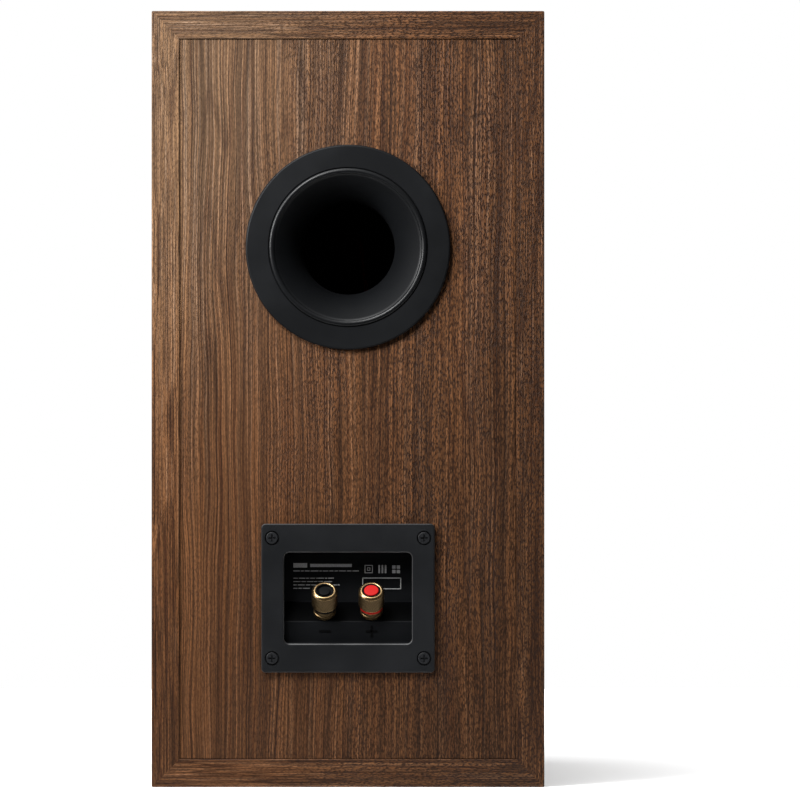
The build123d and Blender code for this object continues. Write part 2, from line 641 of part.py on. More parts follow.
def stopper(side):
    """The plastic plug that closes the banana socket; its head sits in the cap's sunken end."""
    foot = CAP_TOP - CAP_RECESS_H
    top = CAP_TOP + STOPPER_PROUD[side]
    head = Pos(0, 0, (foot + top) / 2) * Cylinder(STOPPER_HEAD_R, top - foot)
    head = fillet(head.edges().group_by(Axis.Z)[-1], 0.45)
    return head + Pos(0, 0, foot - STOPPER_LENGTH / 2) * Cylinder(BANANA_R - FIT, STOPPER_LENGTH)


def post_nuts():
    """The hexagon nuts behind the tray."""
    low = -TRAY_WALL - TAG_T - NUT_H
    nut = Pos(0, 0, low) * extrude(RegularPolygon(NUT_R, 6) - Circle(STUD_R + THREAD_FIT), NUT_H)
    return group(post_place(side) * nut for side in (1, -1))


def solder_tags():
    """The ring tags that the leads are soldered to."""
    sketch = Circle(TAG_R) + Pos(0, -TAG_TAIL / 2) * Rectangle(5.0, TAG_TAIL) - Circle(STUD_R + THREAD_FIT)
    tag = Pos(0, 0, -TRAY_WALL - TAG_T) * extrude(sketch, TAG_T)
    return group(post_place(side) * tag for side in (1, -1))


# ---- woofer ------------------------------------------------------------------
def driver(points, z):
    """A driver's part turned from points (radius, height above the baffle's face)."""
    return turned_y(polygon(*((r, FRONT - h) for r, h in points)), z)


def trim_ring(ring, z):
    """A driver's trim ring, dished towards the cone."""
    r_in, r_out, height = ring
    return driver(
        (
            (r_in, 0.0), (r_out, 0.0), (r_out, height * 0.45), (r_out - 0.5, height * 0.8),
            (r_out - 1.4, height), (r_in + 4.5, height), (r_in + 0.8, height * 0.45), (r_in, height * 0.3),
        ),
        z,
    )


def woofer_basket():
    """The cast basket: flange, spider ledge, seat for the motor, spokes and windows."""
    r_in, r_out, thick = WOOFER_FLANGE
    front, under = -1.0, -1.0 - thick
    body = driver(
        (
            (r_in, front), (r_out, front), (r_out, under), (69.5, under), (54.0, SPIDER_SEAT - 3),
            (50.0, WOOFER_SEAT), (24.0, WOOFER_SEAT), (24.0, WOOFER_SEAT + 3), (47.0, WOOFER_SEAT + 3),
            (49.0, SPIDER_SEAT), (53.0, SPIDER_SEAT), (r_in - 1.0, under - 1.0), (r_in, under),
        ),
        WOOFER_Z,
    )
    window_low, window_high = FRONT - SPIDER_SEAT - 1.5, FRONT - under + 3
    reach = 75.0
    windows = ring_y(51.0, reach, min(window_low, window_high), max(window_low, window_high), WOOFER_Z)
    for k in range(SPOKES // 2):
        spoke = Rot(0, 60.0 * k + 30.0, 0) * Box(2 * reach + 10, 200, SPOKE_WIDTH)
        windows -= Pos(0, FRONT, WOOFER_Z) * spoke
    body -= windows
    body += terminal_pad()
    for x, z in round_places(WOOFER_SCREW_R, WOOFER_SCREWS, 30):
        body -= drill_y(SCREW_SHANK_R + FIT, x, WOOFER_Z + z, FRONT, FRONT - under + 1)
        body -= drill_y(SCREW_HEAD_R + FIT, x, WOOFER_Z + z, FRONT, FRONT + 1 + SCREW_HEAD_H)
    return body


def woofer_gasket():
    """The foam ring under the basket's flange, pierced for the screws."""
    back = FRONT + WOOFER_REBATE[1]
    ring = ring_y(WOOFER_HOLE_R + 0.3, WOOFER_FLANGE[1] - 0.2, back - WOOFER_GASKET_T, back, WOOFER_Z)
    for x, z in round_places(WOOFER_SCREW_R, WOOFER_SCREWS, 30):
        ring -= drill_y(SCREW_SHANK_R + FIT, x, WOOFER_Z + z, back - 2, back + 1)
    return ring


PAD_FRONT, PAD_BACK = -21.0, -34.0      # where the terminal pad sits on the lowest spoke
PAD_R = 65.0
BLADE_LENGTH = 7.0
BLADE_X = 5.0


def terminal_pad():
    """The flat pad on the lowest spoke that carries the terminal board."""
    depth = PAD_FRONT - PAD_BACK
    low, high = WOOFER_Z - PAD_R, WOOFER_Z - 54.0
    return Pos(0, FRONT - (PAD_FRONT + PAD_BACK) / 2, (low + high) / 2) * Box(SPOKE_WIDTH, depth, high - low)


def woofer_terminal():
    """The woofer's terminal board with its two push-on blades."""
    board_t = 1.6
    y = FRONT - (PAD_FRONT + PAD_BACK) / 2
    top = WOOFER_Z - PAD_R
    board = Pos(0, y, top - board_t / 2) * Box(18.0, 10.0, board_t)
    for side in (-1, 1):
        z = top - board_t - BLADE_LENGTH / 2
        board += Pos(side * BLADE_X, y, z) * Box(0.8, 6.3, BLADE_LENGTH)
    return board


def woofer_surround():
    """The rubber half roll between the cone's edge and the basket."""
    def at(r, h):
        return (r, FRONT - h)
    face = outline(
        Line(at(54.8, -2.2), at(58.75, -2.2)),
        ThreePointArc(at(58.75, -2.2), at(63.25, 3.5), at(67.75, -1.0)),
        Line(at(67.75, -1.0), at(71.2, -1.0)),
        Line(at(71.2, -1.0), at(71.2, -0.25)),
        Line(at(71.2, -0.25), at(68.45, -0.25)),
        ThreePointArc(at(68.45, -0.25), at(63.25, 4.3), at(58.0, -1.45)),
        Line(at(58.0, -1.45), at(54.8, -1.45)),
        Line(at(54.8, -1.45), at(54.8, -2.2)),
    )
    return turned_y(face, WOOFER_Z)


CONE_EDGE, CONE_MIDDLE, CONE_NECK = (54.4, -2.25), (36.0, -14.2), (COIL_R + FIT, -24.6)


def cone_height(radius):
    """Height of the cone's front surface at a radius, on the circle through its three points."""
    (x1, y1), (x2, y2), (x3, y3) = CONE_EDGE, CONE_MIDDLE, CONE_NECK
    a, b = 2 * (x2 - x1), 2 * (y2 - y1)
    c, d = 2 * (x3 - x1), 2 * (y3 - y1)
    e, f = x2**2 - x1**2 + y2**2 - y1**2, x3**2 - x1**2 + y3**2 - y1**2
    det = a * d - b * c
    cx, cy = (e * d - b * f) / det, (a * f - e * c) / det
    reach = sqrt((x1 - cx) ** 2 + (y1 - cy) ** 2 - (radius - cx) ** 2)
    return cy + reach if y2 > cy else cy - reach


def woofer_cone():
    """The cone: a flat glue rim outside, a curved wall and a short neck on the coil former."""
    neck = COIL_R + FIT

    def at(r, h):
        return (r, FRONT - h)
    face = outline(
        Line(at(58.6, -2.25), at(*CONE_EDGE)),
        ThreePointArc(at(*CONE_EDGE), at(*CONE_MIDDLE), at(*CONE_NECK)),
        Line(at(*CONE_NECK), at(neck, -28.6)),
        Line(at(neck, -28.6), at(neck + 0.8, -28.6)),
        Line(at(neck + 0.8, -28.6), at(neck + 0.8, -25.4)),
        ThreePointArc(at(neck + 0.8, -25.4), at(36.3, -15.1), at(54.6, -3.05)),
        Line(at(54.6, -3.05), at(58.6, -3.05)),
        Line(at(58.6, -3.05), at(58.6, -2.25)),
    )
    return turned_y(face, WOOFER_Z)


def dome(radius, rise, thick, foot, z):
    """A shell of two concentric spheres: radius and rise at its foot, which stands at height foot."""
    outer_r = (radius**2 + rise**2) / (2 * rise)
    drop = outer_r - rise
    centre = FRONT - (foot - drop)
    inner_r = outer_r - thick
    half_angle = 0.5 * asin(radius / outer_r)

    def arc_point(sphere_r, angle):
        return (sphere_r * sin(angle), centre - sphere_r * cos(angle))
    inner_foot = (sqrt(inner_r**2 - drop**2), centre - drop)
    face = outline(
        Line(arc_point(outer_r, 0), arc_point(inner_r, 0)),
        ThreePointArc(arc_point(inner_r, 0), arc_point(inner_r, half_angle), inner_foot),
        Line(inner_foot, (radius, centre - drop)),
        ThreePointArc((radius, centre - drop), arc_point(outer_r, half_angle), arc_point(outer_r, 0)),
    )
    return turned_y(face, z)


def woofer_voice_coil():
    """The coil former and its winding."""
    former = driver(((COIL_R - 0.3, -24.0), (COIL_R, -24.0), (COIL_R, -56.0), (COIL_R - 0.3, -56.0)), WOOFER_Z)
    wound = COIL_R + 1.3
    winding = driver(((COIL_R, -43.0), (wound, -43.0), (wound, -55.0), (COIL_R, -55.0)), WOOFER_Z)
    return former + winding


def woofer_spider():
    """The corrugated disc that centres the coil."""
    r_in, r_out, waves, rise, t = COIL_R + FIT, 51.5, 6, 1.3, 0.6
    flat_in, flat_out = r_in + 2.5, 47.5
    pitch = (flat_out - flat_in) / waves
    high, low = [], []
    for k in range(2 * waves + 1):
        r = flat_in + k * pitch / 2
        h = SPIDER_SEAT + t / 2 + (rise if k % 2 else -rise) * (0 < k < 2 * waves)
        high.append((r, h + t / 2))
        low.append((r, h - t / 2))
    flat_high = [(r_in, SPIDER_SEAT + t), *high, (r_out, SPIDER_SEAT + t)]
    flat_low = [(r_out, SPIDER_SEAT), *reversed(low), (r_in, SPIDER_SEAT)]
    return driver((*flat_high, *flat_low), WOOFER_Z)


def woofer_top_plate():
    """The motor's front plate."""
    return driver(
        ((COIL_R + 2.0, WOOFER_SEAT), (YOKE_R, WOOFER_SEAT),
         (YOKE_R, WOOFER_SEAT - TOP_PLATE_T), (COIL_R + 2.0, WOOFER_SEAT - TOP_PLATE_T)),
        WOOFER_Z,
    )


def woofer_magnet():
    """The ferrite ring."""
    high = WOOFER_SEAT - TOP_PLATE_T
    low = high - MAGNET_T
    r_in, r_out = MAGNET_R
    soft = 1.2
    return driver(
        ((r_in, high), (r_out - soft, high), (r_out, high - soft), (r_out, low + soft),
         (r_out - soft, low), (r_in, low)),
        WOOFER_Z,
    )


def woofer_pole_yoke():
    """The back plate with its vented pole."""
    high = WOOFER_SEAT - TOP_PLATE_T - MAGNET_T
    low = high - YOKE_T
    return driver(
        ((POLE_VENT_R, WOOFER_SEAT + 0.5), (POLE_R, WOOFER_SEAT + 0.5), (POLE_R, high), (YOKE_R, high),
         (YOKE_R, low + 1.5), (YOKE_R - 1.5, low), (POLE_VENT_R, low)),
        WOOFER_Z,
    )


# ---- tweeter -----------------------------------------------------------------
def tweeter_faceplate():
    """The moulded waveguide: flange in the rebate, curved horn and seat for the motor."""
    r_mouth = TWEETER_RING[0] + 1.0

    def at(r, h):
        return (r, FRONT - h)
    face = outline(
        Line(at(TWEETER_FLANGE_R, -1.0), at(r_mouth, -1.0)),
        ThreePointArc(at(r_mouth, -1.0), at(33.0, -6.2), at(TWEETER_THROAT_R, TWEETER_THROAT)),
        Line(at(TWEETER_THROAT_R, TWEETER_THROAT), at(TWEETER_THROAT_R, TWEETER_SEAT)),
        Line(at(TWEETER_THROAT_R, TWEETER_SEAT), at(40.0, TWEETER_SEAT)),
        Line(at(40.0, TWEETER_SEAT), at(40.0, -11.0)),
        Line(at(40.0, -11.0), at(46.5, -TWEETER_REBATE[1] - 2.0)),
        Line(at(46.5, -TWEETER_REBATE[1] - 2.0), at(46.5, -TWEETER_REBATE[1])),
        Line(at(46.5, -TWEETER_REBATE[1]), at(TWEETER_FLANGE_R, -TWEETER_REBATE[1])),
        Line(at(TWEETER_FLANGE_R, -TWEETER_REBATE[1]), at(TWEETER_FLANGE_R, -1.0)),
    )
    body = turned_y(face, TWEETER_Z)
    for x, z in round_places(TWEETER_SCREW_R, TWEETER_SCREWS, 30):
        body -= drill_y(SCREW_SHANK_R + FIT, x, TWEETER_Z + z, FRONT, FRONT + 10)
        body -= drill_y(SCREW_HEAD_R + FIT, x, TWEETER_Z + z, FRONT, FRONT + 1 + SCREW_HEAD_H)
    return body


DOME_FOOT = TWEETER_THROAT - 0.9        # the dome's glue line


def tweeter_voice_coil():
    """The small coil under the dome."""
    r = DOME_R
    former = driver(((r - 0.2, DOME_FOOT), (r, DOME_FOOT), (r, -22.5), (r - 0.2, -22.5)), TWEETER_Z)
    winding = driver(((r, -17.5), (r + 0.5, -17.5), (r + 0.5, -21.5), (r, -21.5)), TWEETER_Z)
    return former + winding


def tweeter_surround():
    """The dome's small half roll, glued to the front plate's step."""
    r0, r1 = DOME_R + 0.2, TWEETER_THROAT_R - 0.1
    mid = (r0 + r1) / 2
    foot = DOME_FOOT

    def at(r, h):
        return (r, FRONT - h)
    face = outline(
        ThreePointArc(at(r0, foot), at(mid, foot + 1.2), at(r1, foot)),
        Line(at(r1, foot), at(r1 - 0.3, foot)),
        ThreePointArc(at(r1 - 0.3, foot), at(mid, foot + 0.9), at(r0 + 0.3, foot)),
        Line(at(r0 + 0.3, foot), at(r0, foot)),
    )
    return turned_y(face, TWEETER_Z)


def tweeter_top_plate():
    """The tweeter motor's front plate, with the step in the throat that the surround is glued to."""
    r_in, step, back = DOME_R + 1.2, TWEETER_THROAT_R - 0.1, TWEETER_SEAT - 4.0
    return driver(
        ((r_in, DOME_FOOT), (step, DOME_FOOT), (step, TWEETER_SEAT), (TWEETER_MOTOR_R, TWEETER_SEAT),
         (TWEETER_MOTOR_R, back), (r_in, back)),
        TWEETER_Z,
    )


def tweeter_magnet():
    """The tweeter's ferrite ring."""
    high, low = TWEETER_SEAT - 4.0, TWEETER_SEAT - 12.0
    return driver(((17.0, high), (TWEETER_MOTOR_R, high), (TWEETER_MOTOR_R, low), (17.0, low)), TWEETER_Z)


def tweeter_pole_yoke():
    """The tweeter's back plate and vented pole."""
    vent, pole_r, high = 3.0, DOME_R - 0.6, TWEETER_SEAT - 12.0
    return driver(
        ((vent, TWEETER_SEAT), (pole_r, TWEETER_SEAT), (pole_r, high), (TWEETER_MOTOR_R, high),
         (TWEETER_MOTOR_R, high - 5.0), (vent, high - 5.0)),
        TWEETER_Z,
    )


def tweeter_rear_cup():
    """The rear chamber that closes the tweeter's back, with its two blades."""
    r_in, r_out, back, soft = TWEETER_MOTOR_R + 0.4, TWEETER_CUP_R, TWEETER_CUP_BACK, 2.0
    cup = driver(
        ((r_in, TWEETER_SEAT), (r_out, TWEETER_SEAT), (r_out, back + soft), (r_out - soft, back),
         (0.0, back), (0.0, back + 2.5), (r_in, back + 2.5)),
        TWEETER_Z,
    )
    for side in (-1, 1):
        cup += Pos(side * BLADE_X, FRONT - back + BLADE_LENGTH / 2, TWEETER_Z) * Box(0.8, BLADE_LENGTH, 6.3)
    return cup


# ---- crossover and leads -----------------------------------------------------
def standoff_places():
    """The four fixing points (x, y) of the crossover board."""
    return [
        (x, PCB_MIDDLE_Y + y)
        for x, y in corner_places((PCB[0] - 2 * STANDOFF_INSET, PCB[1] - 2 * STANDOFF_INSET))
    ]


def crossover_board():
    """The printed board, drilled at its corners."""
    board = Pos(0, PCB_MIDDLE_Y, PCB_BOTTOM + PCB[2] / 2) * Box(*PCB)
    for x, y in standoff_places():
        board -= Pos(x, y, PCB_BOTTOM) * Cylinder(SCREW_SHANK_R + FIT, 6)
    return board


def crossover_standoffs():
    """The four spacers under the board."""
    spacer = Cylinder(STANDOFF_R, STANDOFF_H) - Cylinder(SCREW_SHANK_R + FIT, STANDOFF_H + 2)
    return group(Pos(x, y, BOARD + STANDOFF_H / 2) * spacer for x, y in standoff_places())


def crossover_screws():
    """The four screws that hold the board to its spacers."""
    screw = cross_screw(STANDOFF_H - 3.0)
    return group(Pos(x, y, PCB_TOP + SCREW_HEAD_H) * screw for x, y in standoff_places())


def crossover_coils():
    """Two air-cored coils lying flat and one standing on edge, so that they don't couple."""
    def coil(r_in, r_out, height):
        return Cylinder(r_out, height) - Cylinder(r_in, height + 2)
    return group([
        Pos(-30, 58, PCB_TOP + 9) * coil(9, 21, 18),
        Pos(31, 54, PCB_TOP + 7) * coil(8, 18, 14),
        Pos(30, -16, PCB_TOP + 17) * Rot(0, 90, 0) * coil(8, 17, 12),
    ])


def crossover_capacitors():
    """Film capacitors lying on the board."""
    sizes = ((-34, 22, 8.5, 32), (-34, -2, 10.0, 36), (2, 8, 7.5, 28))
    return group(Pos(x, y, PCB_TOP + r) * Rot(0, 90, 0) * Cylinder(r, length) for x, y, r, length in sizes)


def crossover_resistors():
    """Cement resistors standing off the board on their flat sides."""
    return group(Pos(x, y, PCB_TOP + 4.5) * Box(22, 9, 9) for x, y in ((-36, -26), (2, -12), (34, 20)))


def lead(points):
    """A round lead along straight runs joined by arcs as large as the runs allow."""
    vectors = [Vector(*p) for p in points]
    radii = []
    for before, here, after in zip(vectors, vectors[1:], vectors[2:]):
        turn = radians((here - before).get_angle(after - here))
        radii.append(0.45 * min((here - before).length, (after - here).length) / tan(turn / 2))
    print("lead radii", [round(r, 1) for r in radii])
    path = FilletPolyline(*vectors, radius=radii)
    start = Plane(origin=vectors[0], z_dir=vectors[1] - vectors[0])
    return sweep(start * Circle(LEAD_R), path)


def leads(side):
    """One polarity's three leads: tray to board, board to woofer, board to tweeter."""
    tail = TAG_TAIL - 2.0
    tilt = radians(POST_TILT)
    down = TRAY_WALL + TAG_T + LEAD_R + 0.1
    depth = TRAY_LEDGE_DEPTH + (POST_BASE_Z - TRAY_LEDGE_TOP)
    tag_y = TRAY_FACE - depth - tail * cos(tilt) - down * sin(tilt)
    tag_z = TRAY_Z + POST_BASE_Z + tail * sin(tilt) - down * cos(tilt)
    x = side * POST_X
    blade_z = WOOFER_Z - PAD_R - 1.6 - BLADE_LENGTH
    blade_y = FRONT - (PAD_FRONT + PAD_BACK) / 2
    tweeter_y = FRONT - TWEETER_CUP_BACK + BLADE_LENGTH
    near, far = side * BLADE_X, side * 9.0
    supply = lead([
        (x, tag_y, tag_z), (x, tag_y - 12, tag_z + 5), (x * 0.9, tag_y - 24, tag_z - 8),
        (x * 0.6, tag_y - 30, tag_z - 30), (x * 0.4, tag_y - 41, tag_z - 50), (x * 0.3, tag_y - 52, PCB_TOP + 14),
        (x * 0.3, tag_y - 52, PCB_TOP),
    ])
    woofer = lead([
        (far, PCB_MIDDLE_Y - 58, PCB_TOP), (far, PCB_MIDDLE_Y - 58, PCB_TOP + 13),
        (far, PCB_MIDDLE_Y - 72, PCB_TOP + 24), (side * 8, PCB_MIDDLE_Y - 95, PCB_TOP + 20),
        (side * 7, PCB_MIDDLE_Y - 120, PCB_TOP + 13), (side * 6, blade_y + 14, PCB_TOP + 12),
        (near, blade_y, PCB_TOP + 20), (near, blade_y, blade_z),
    ])
    tweeter = lead([
        (side * 14, -36, PCB_TOP), (side * 14, -36, PCB_TOP + 22), (side * 16, -44, PCB_TOP + 58),
        (side * 18, -56, PCB_TOP + 100), (side * 16, -66, PCB_TOP + 145), (side * 14, -69, PCB_TOP + 188),
        (side * 11, -71, PCB_TOP + 224), (side * 8, -74, PCB_TOP + 252), (near, -86, TWEETER_Z),
        (near, tweeter_y, TWEETER_Z),
    ])
    return group([supply, woofer, tweeter])


def build():
    """Every sub-part by the name of its node."""
    whole = sleeve()
    parts = {
        "top_panel": sleeve_board(whole, "top"),
        "bottom_panel": bottom_panel(whole),
        "left_side_panel": sleeve_board(whole, "left"),
        "right_side_panel": sleeve_board(whole, "right"),
        "back_panel": back_panel(),
        "front_baffle": front_baffle(),
        "window_brace": window_brace(),
        "back_battens": back_battens(),
        "foam_lining": foam_lining(),
        "stand_inserts": stand_inserts(),
        "port_trim_ring": port_trim_ring(),
        "port_flare": port_flare(),
        "port_tube": port_tube(),
        "port_inner_flare": port_inner_flare(),
        "port_screws": port_screws(),
        "terminal_tray": terminal_tray(),
        "terminal_gasket": terminal_gasket(),
        "terminal_screws": terminal_screws(),
        "post_collars": group(post_place(side) * post_collar() for side in (1, -1)),
        "post_nuts": post_nuts(),
        "solder_tags": solder_tags(),
        "woofer_trim_ring": trim_ring(WOOFER_RING, WOOFER_Z),
        "woofer_basket": woofer_basket(),
        "woofer_gasket": woofer_gasket(),
        "woofer_terminal": woofer_terminal(),
        "woofer_surround": woofer_surround(),
        "woofer_cone": woofer_cone(),
        "woofer_dust_cap": dome(DUST_CAP_R, DUST_CAP_RISE, 0.6, cone_height(DUST_CAP_R) + 0.02, WOOFER_Z),
        "woofer_voice_coil": woofer_voice_coil(),
        "woofer_spider": woofer_spider(),
        "woofer_top_plate": woofer_top_plate(),
        "woofer_magnet": woofer_magnet(),
        "woofer_pole_yoke": woofer_pole_yoke(),
        "driver_screws": driver_screws(),
        "tweeter_trim_ring": trim_ring(TWEETER_RING, TWEETER_Z),
        "tweeter_faceplate": tweeter_faceplate(),
        "tweeter_dome": dome(DOME_R, DOME_HEIGHT, DOME_T, DOME_FOOT, TWEETER_Z),
        "tweeter_surround": tweeter_surround(),
        "tweeter_voice_coil": tweeter_voice_coil(),
        "tweeter_top_plate": tweeter_top_plate(),
        "tweeter_magnet": tweeter_magnet(),
        "tweeter_pole_yoke": tweeter_pole_yoke(),
        "tweeter_rear_cup": tweeter_rear_cup(),
        "crossover_board": crossover_board(),
        "crossover_standoffs": crossover_standoffs(),
        "crossover_screws": crossover_screws(),
        "crossover_coils": crossover_coils(),
        "crossover_capacitors": crossover_capacitors(),
        "crossover_resistors": crossover_resistors(),
        "leads_negative": leads(1),
        "leads_positive": leads(-1),
    }
    for name, side in (("negative", 1), ("positive", -1)):
        place = post_place(side)
        parts[f"{name}_post"] = place * post_stud()
        parts[f"{name}_washer"] = place * clamp_washer()
        parts[f"{name}_cap"] = place * post_cap()
        parts[f"{name}_stopper"] = place * stopper(side)
    return parts


def main():
    os.makedirs("parts", exist_ok=True)
    for name, shape in build().items():
        export_step(shape, f"parts/{name}.step")


main()
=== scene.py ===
import json

import bmesh
import bpy
import numpy as np
from bpy.props import FloatProperty, FloatVectorProperty, IntProperty, PointerProperty
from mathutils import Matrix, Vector


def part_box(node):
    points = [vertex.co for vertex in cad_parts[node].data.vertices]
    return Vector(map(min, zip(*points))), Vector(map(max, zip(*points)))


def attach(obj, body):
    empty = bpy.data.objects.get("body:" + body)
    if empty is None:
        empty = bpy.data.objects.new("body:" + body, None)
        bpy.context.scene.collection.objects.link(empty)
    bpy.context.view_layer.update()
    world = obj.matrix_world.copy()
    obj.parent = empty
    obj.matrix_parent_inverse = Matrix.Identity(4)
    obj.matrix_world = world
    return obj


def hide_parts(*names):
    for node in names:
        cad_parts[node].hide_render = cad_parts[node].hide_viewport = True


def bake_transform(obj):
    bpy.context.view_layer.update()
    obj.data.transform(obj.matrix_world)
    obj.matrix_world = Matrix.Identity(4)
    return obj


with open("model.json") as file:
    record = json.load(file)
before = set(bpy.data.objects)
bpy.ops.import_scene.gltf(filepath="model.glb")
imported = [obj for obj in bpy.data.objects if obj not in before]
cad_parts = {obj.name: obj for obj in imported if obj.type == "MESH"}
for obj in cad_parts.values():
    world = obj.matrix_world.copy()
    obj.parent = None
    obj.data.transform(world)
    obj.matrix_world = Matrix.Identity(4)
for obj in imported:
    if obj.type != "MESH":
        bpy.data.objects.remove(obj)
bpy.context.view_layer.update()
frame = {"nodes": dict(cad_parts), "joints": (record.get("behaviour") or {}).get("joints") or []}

bl_info = {
    "name": "Bookshelf Loudspeaker",
    "version": (1, 0, 0),
    "blender": (4, 5, 0),
    "location": "View3D > Sidebar > Loudspeaker",
    "description": "Dresses a rear-ported bookshelf loudspeaker: walnut cabinet, port, terminals and drivers",
    "category": "Add Mesh",
}

MM = 0.001
FULL_TURN = 6283.2  # radians in a turn, times the millimetres in a metre
KNURL_LEAD = 6.8    # millimetres along a cap in which a knurl ridge turns by one radian
NODES = frame["nodes"]
JOINTS = {joint["name"]: joint for joint in frame["joints"]}


def middle(node):
    """The middle of a CAD node's box, in metres."""
    low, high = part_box(node)
    return (low + high) / 2


def face_y(node, rear):
    """Where a CAD node's box ends along Y, in metres: its rear end or its front end."""
    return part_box(node)[1 if rear else 0].y


# ---- surfaces ------------------------------------------------------------------------------------
def mesh_piece(name, vertices, faces):
    """A smooth mesh object at the origin. Doubled points are merged, so seams and poles close, and the
    faces are turned outwards."""
    mesh = bpy.data.meshes.new(name)
    mesh.from_pydata(np.asarray(vertices, float).tolist(), [], np.asarray(faces).tolist())
    work = bmesh.new()
    work.from_mesh(mesh)
    bmesh.ops.remove_doubles(work, verts=work.verts, dist=2e-6)
    bmesh.ops.dissolve_degenerate(work, dist=1e-6, edges=work.edges)
    bmesh.ops.recalc_face_normals(work, faces=work.faces)
    work.to_mesh(mesh)
    work.free()
    mesh.shade_smooth()
    piece = bpy.data.objects.new(name, mesh)
    bpy.context.scene.collection.objects.link(piece)
    return piece


def grid_faces(rows, columns, wrap_rows, wrap_columns):
    """Four-sided faces between neighbouring points of a rows x columns grid, wrapping where asked."""
    r = np.arange(rows if wrap_rows else rows - 1)
    c = np.arange(columns if wrap_columns else columns - 1)
    r, c = np.meshgrid(r, c, indexing="ij")
    r1, c1 = (r + 1) % rows, (c + 1) % columns
    corners = np.stack([r * columns + c, r * columns + c1, r1 * columns + c1, r1 * columns + c], -1)
    return corners.reshape(-1, 4)


def rounded_loop(corners, steps=6):
    """A closed outline (n, 2) from corners (a, b, radius): each corner with a radius becomes an arc that is
    tangent to both of its sides, cut back by radius x tan(half the turn)."""
    points = np.array([corner[:2] for corner in corners], float)
    radii = np.array([corner[2] for corner in corners], float)
    before = np.roll(points, 1, 0) - points
    after = np.roll(points, -1, 0) - points
    before /= np.linalg.norm(before, axis=1)[:, None]
    after /= np.linalg.norm(after, axis=1)[:, None]
    half = np.arccos(np.clip((before * after).sum(1), -1, 1)) / 2
    reach = (radii / np.maximum(np.sin(half), 1e-9))[:, None]
    inward = before + after
    centres = points + inward / np.maximum(np.linalg.norm(inward, axis=1), 1e-9)[:, None] * reach
    cut = (radii / np.maximum(np.tan(half), 1e-9))[:, None]
    start, end = points + before * cut - centres, points + after * cut - centres
    t = np.linspace(0, 1, steps)[None, :, None]
    blend = start[:, None] * (1 - t) + end[:, None] * t
    size = np.linalg.norm(blend, axis=2, keepdims=True)
    arcs = centres[:, None] + blend / np.maximum(size, 1e-12) * radii[:, None, None]
    sharp = radii < 1e-9
    outline = [points[i : i + 1] if sharp[i] else arcs[i] for i in range(len(points))]
    return np.concatenate(outline)


class Place:
    """A local frame: origin in metres, and an axis that turned pieces stand along."""

    def __init__(self, origin, axis, across=(1.0, 0.0, 0.0)):
        self.origin = np.array(origin, float)
        self.axis = np.array(axis, float) / np.linalg.norm(axis)
        self.across = np.array(across, float)
        self.third = np.cross(self.axis, self.across)

    def points(self, a, b, h):
        """World points from millimetres across, along the third direction and along the axis."""
        a, b, h = (np.asarray(v, float)[..., None] * MM for v in np.broadcast_arrays(a, b, h))
        return self.origin + a * self.across + b * self.third + h * self.axis


def turned(name, place, outline, turns=160, shape=None):
    """A solid of revolution: outline holds (radius, height), and each point goes to radius x (cos, sin) of
    the angle. shape(angle, radius, height) may give the radius more, as knurling does."""
    angle = np.linspace(0, 2 * np.pi, turns, endpoint=False)[None, :]
    radius, height = outline[:, :1], outline[:, 1:]
    reach = radius + (shape(angle, radius, height) if shape else 0.0 * angle)
    points = place.points(reach * np.cos(angle), reach * np.sin(angle), height + 0 * angle)
    return mesh_piece(name, points.reshape(-1, 3), grid_faces(len(outline), turns, True, True))


def plates(name, place, boxes, thick, height=0.0):
    """Thin raised rectangles: each row of boxes is (low a, low b, high a, high b) in millimetres, and
    every rectangle becomes a closed slab from height to height + thick."""
    boxes = np.asarray(boxes, float)
    a = boxes[:, [0, 2, 2, 0]]
    b = boxes[:, [1, 1, 3, 3]]
    layers = [place.points(a, b, np.full_like(a, h)) for h in (height, height + thick)]
    vertices = np.concatenate(layers, 1).reshape(-1, 3)
    faces = np.array([[3, 2, 1, 0], [4, 5, 6, 7], [0, 1, 5, 4], [1, 2, 6, 5], [2, 3, 7, 6], [3, 0, 4, 7]])
    faces = (faces[None] + 8 * np.arange(len(boxes))[:, None, None]).reshape(-1, 4)
    piece = mesh_piece(name, vertices, faces)
    piece.data.shade_flat()
    return piece


def finish_piece(piece, body, material, slot, *stands_for):
    """Gives a piece its material, lets it ride on its body and stand for CAD nodes. The slot is not used."""
    piece.data.materials.append(material)
    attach(piece, body)
    if stands_for:
        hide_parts(*stands_for)
    return piece


def dress(material, *nodes):
    """Gives CAD nodes a material in place of their plain one."""
    for node in nodes:
        slots = NODES[node].data.materials
        slots.clear()
        slots.append(material)


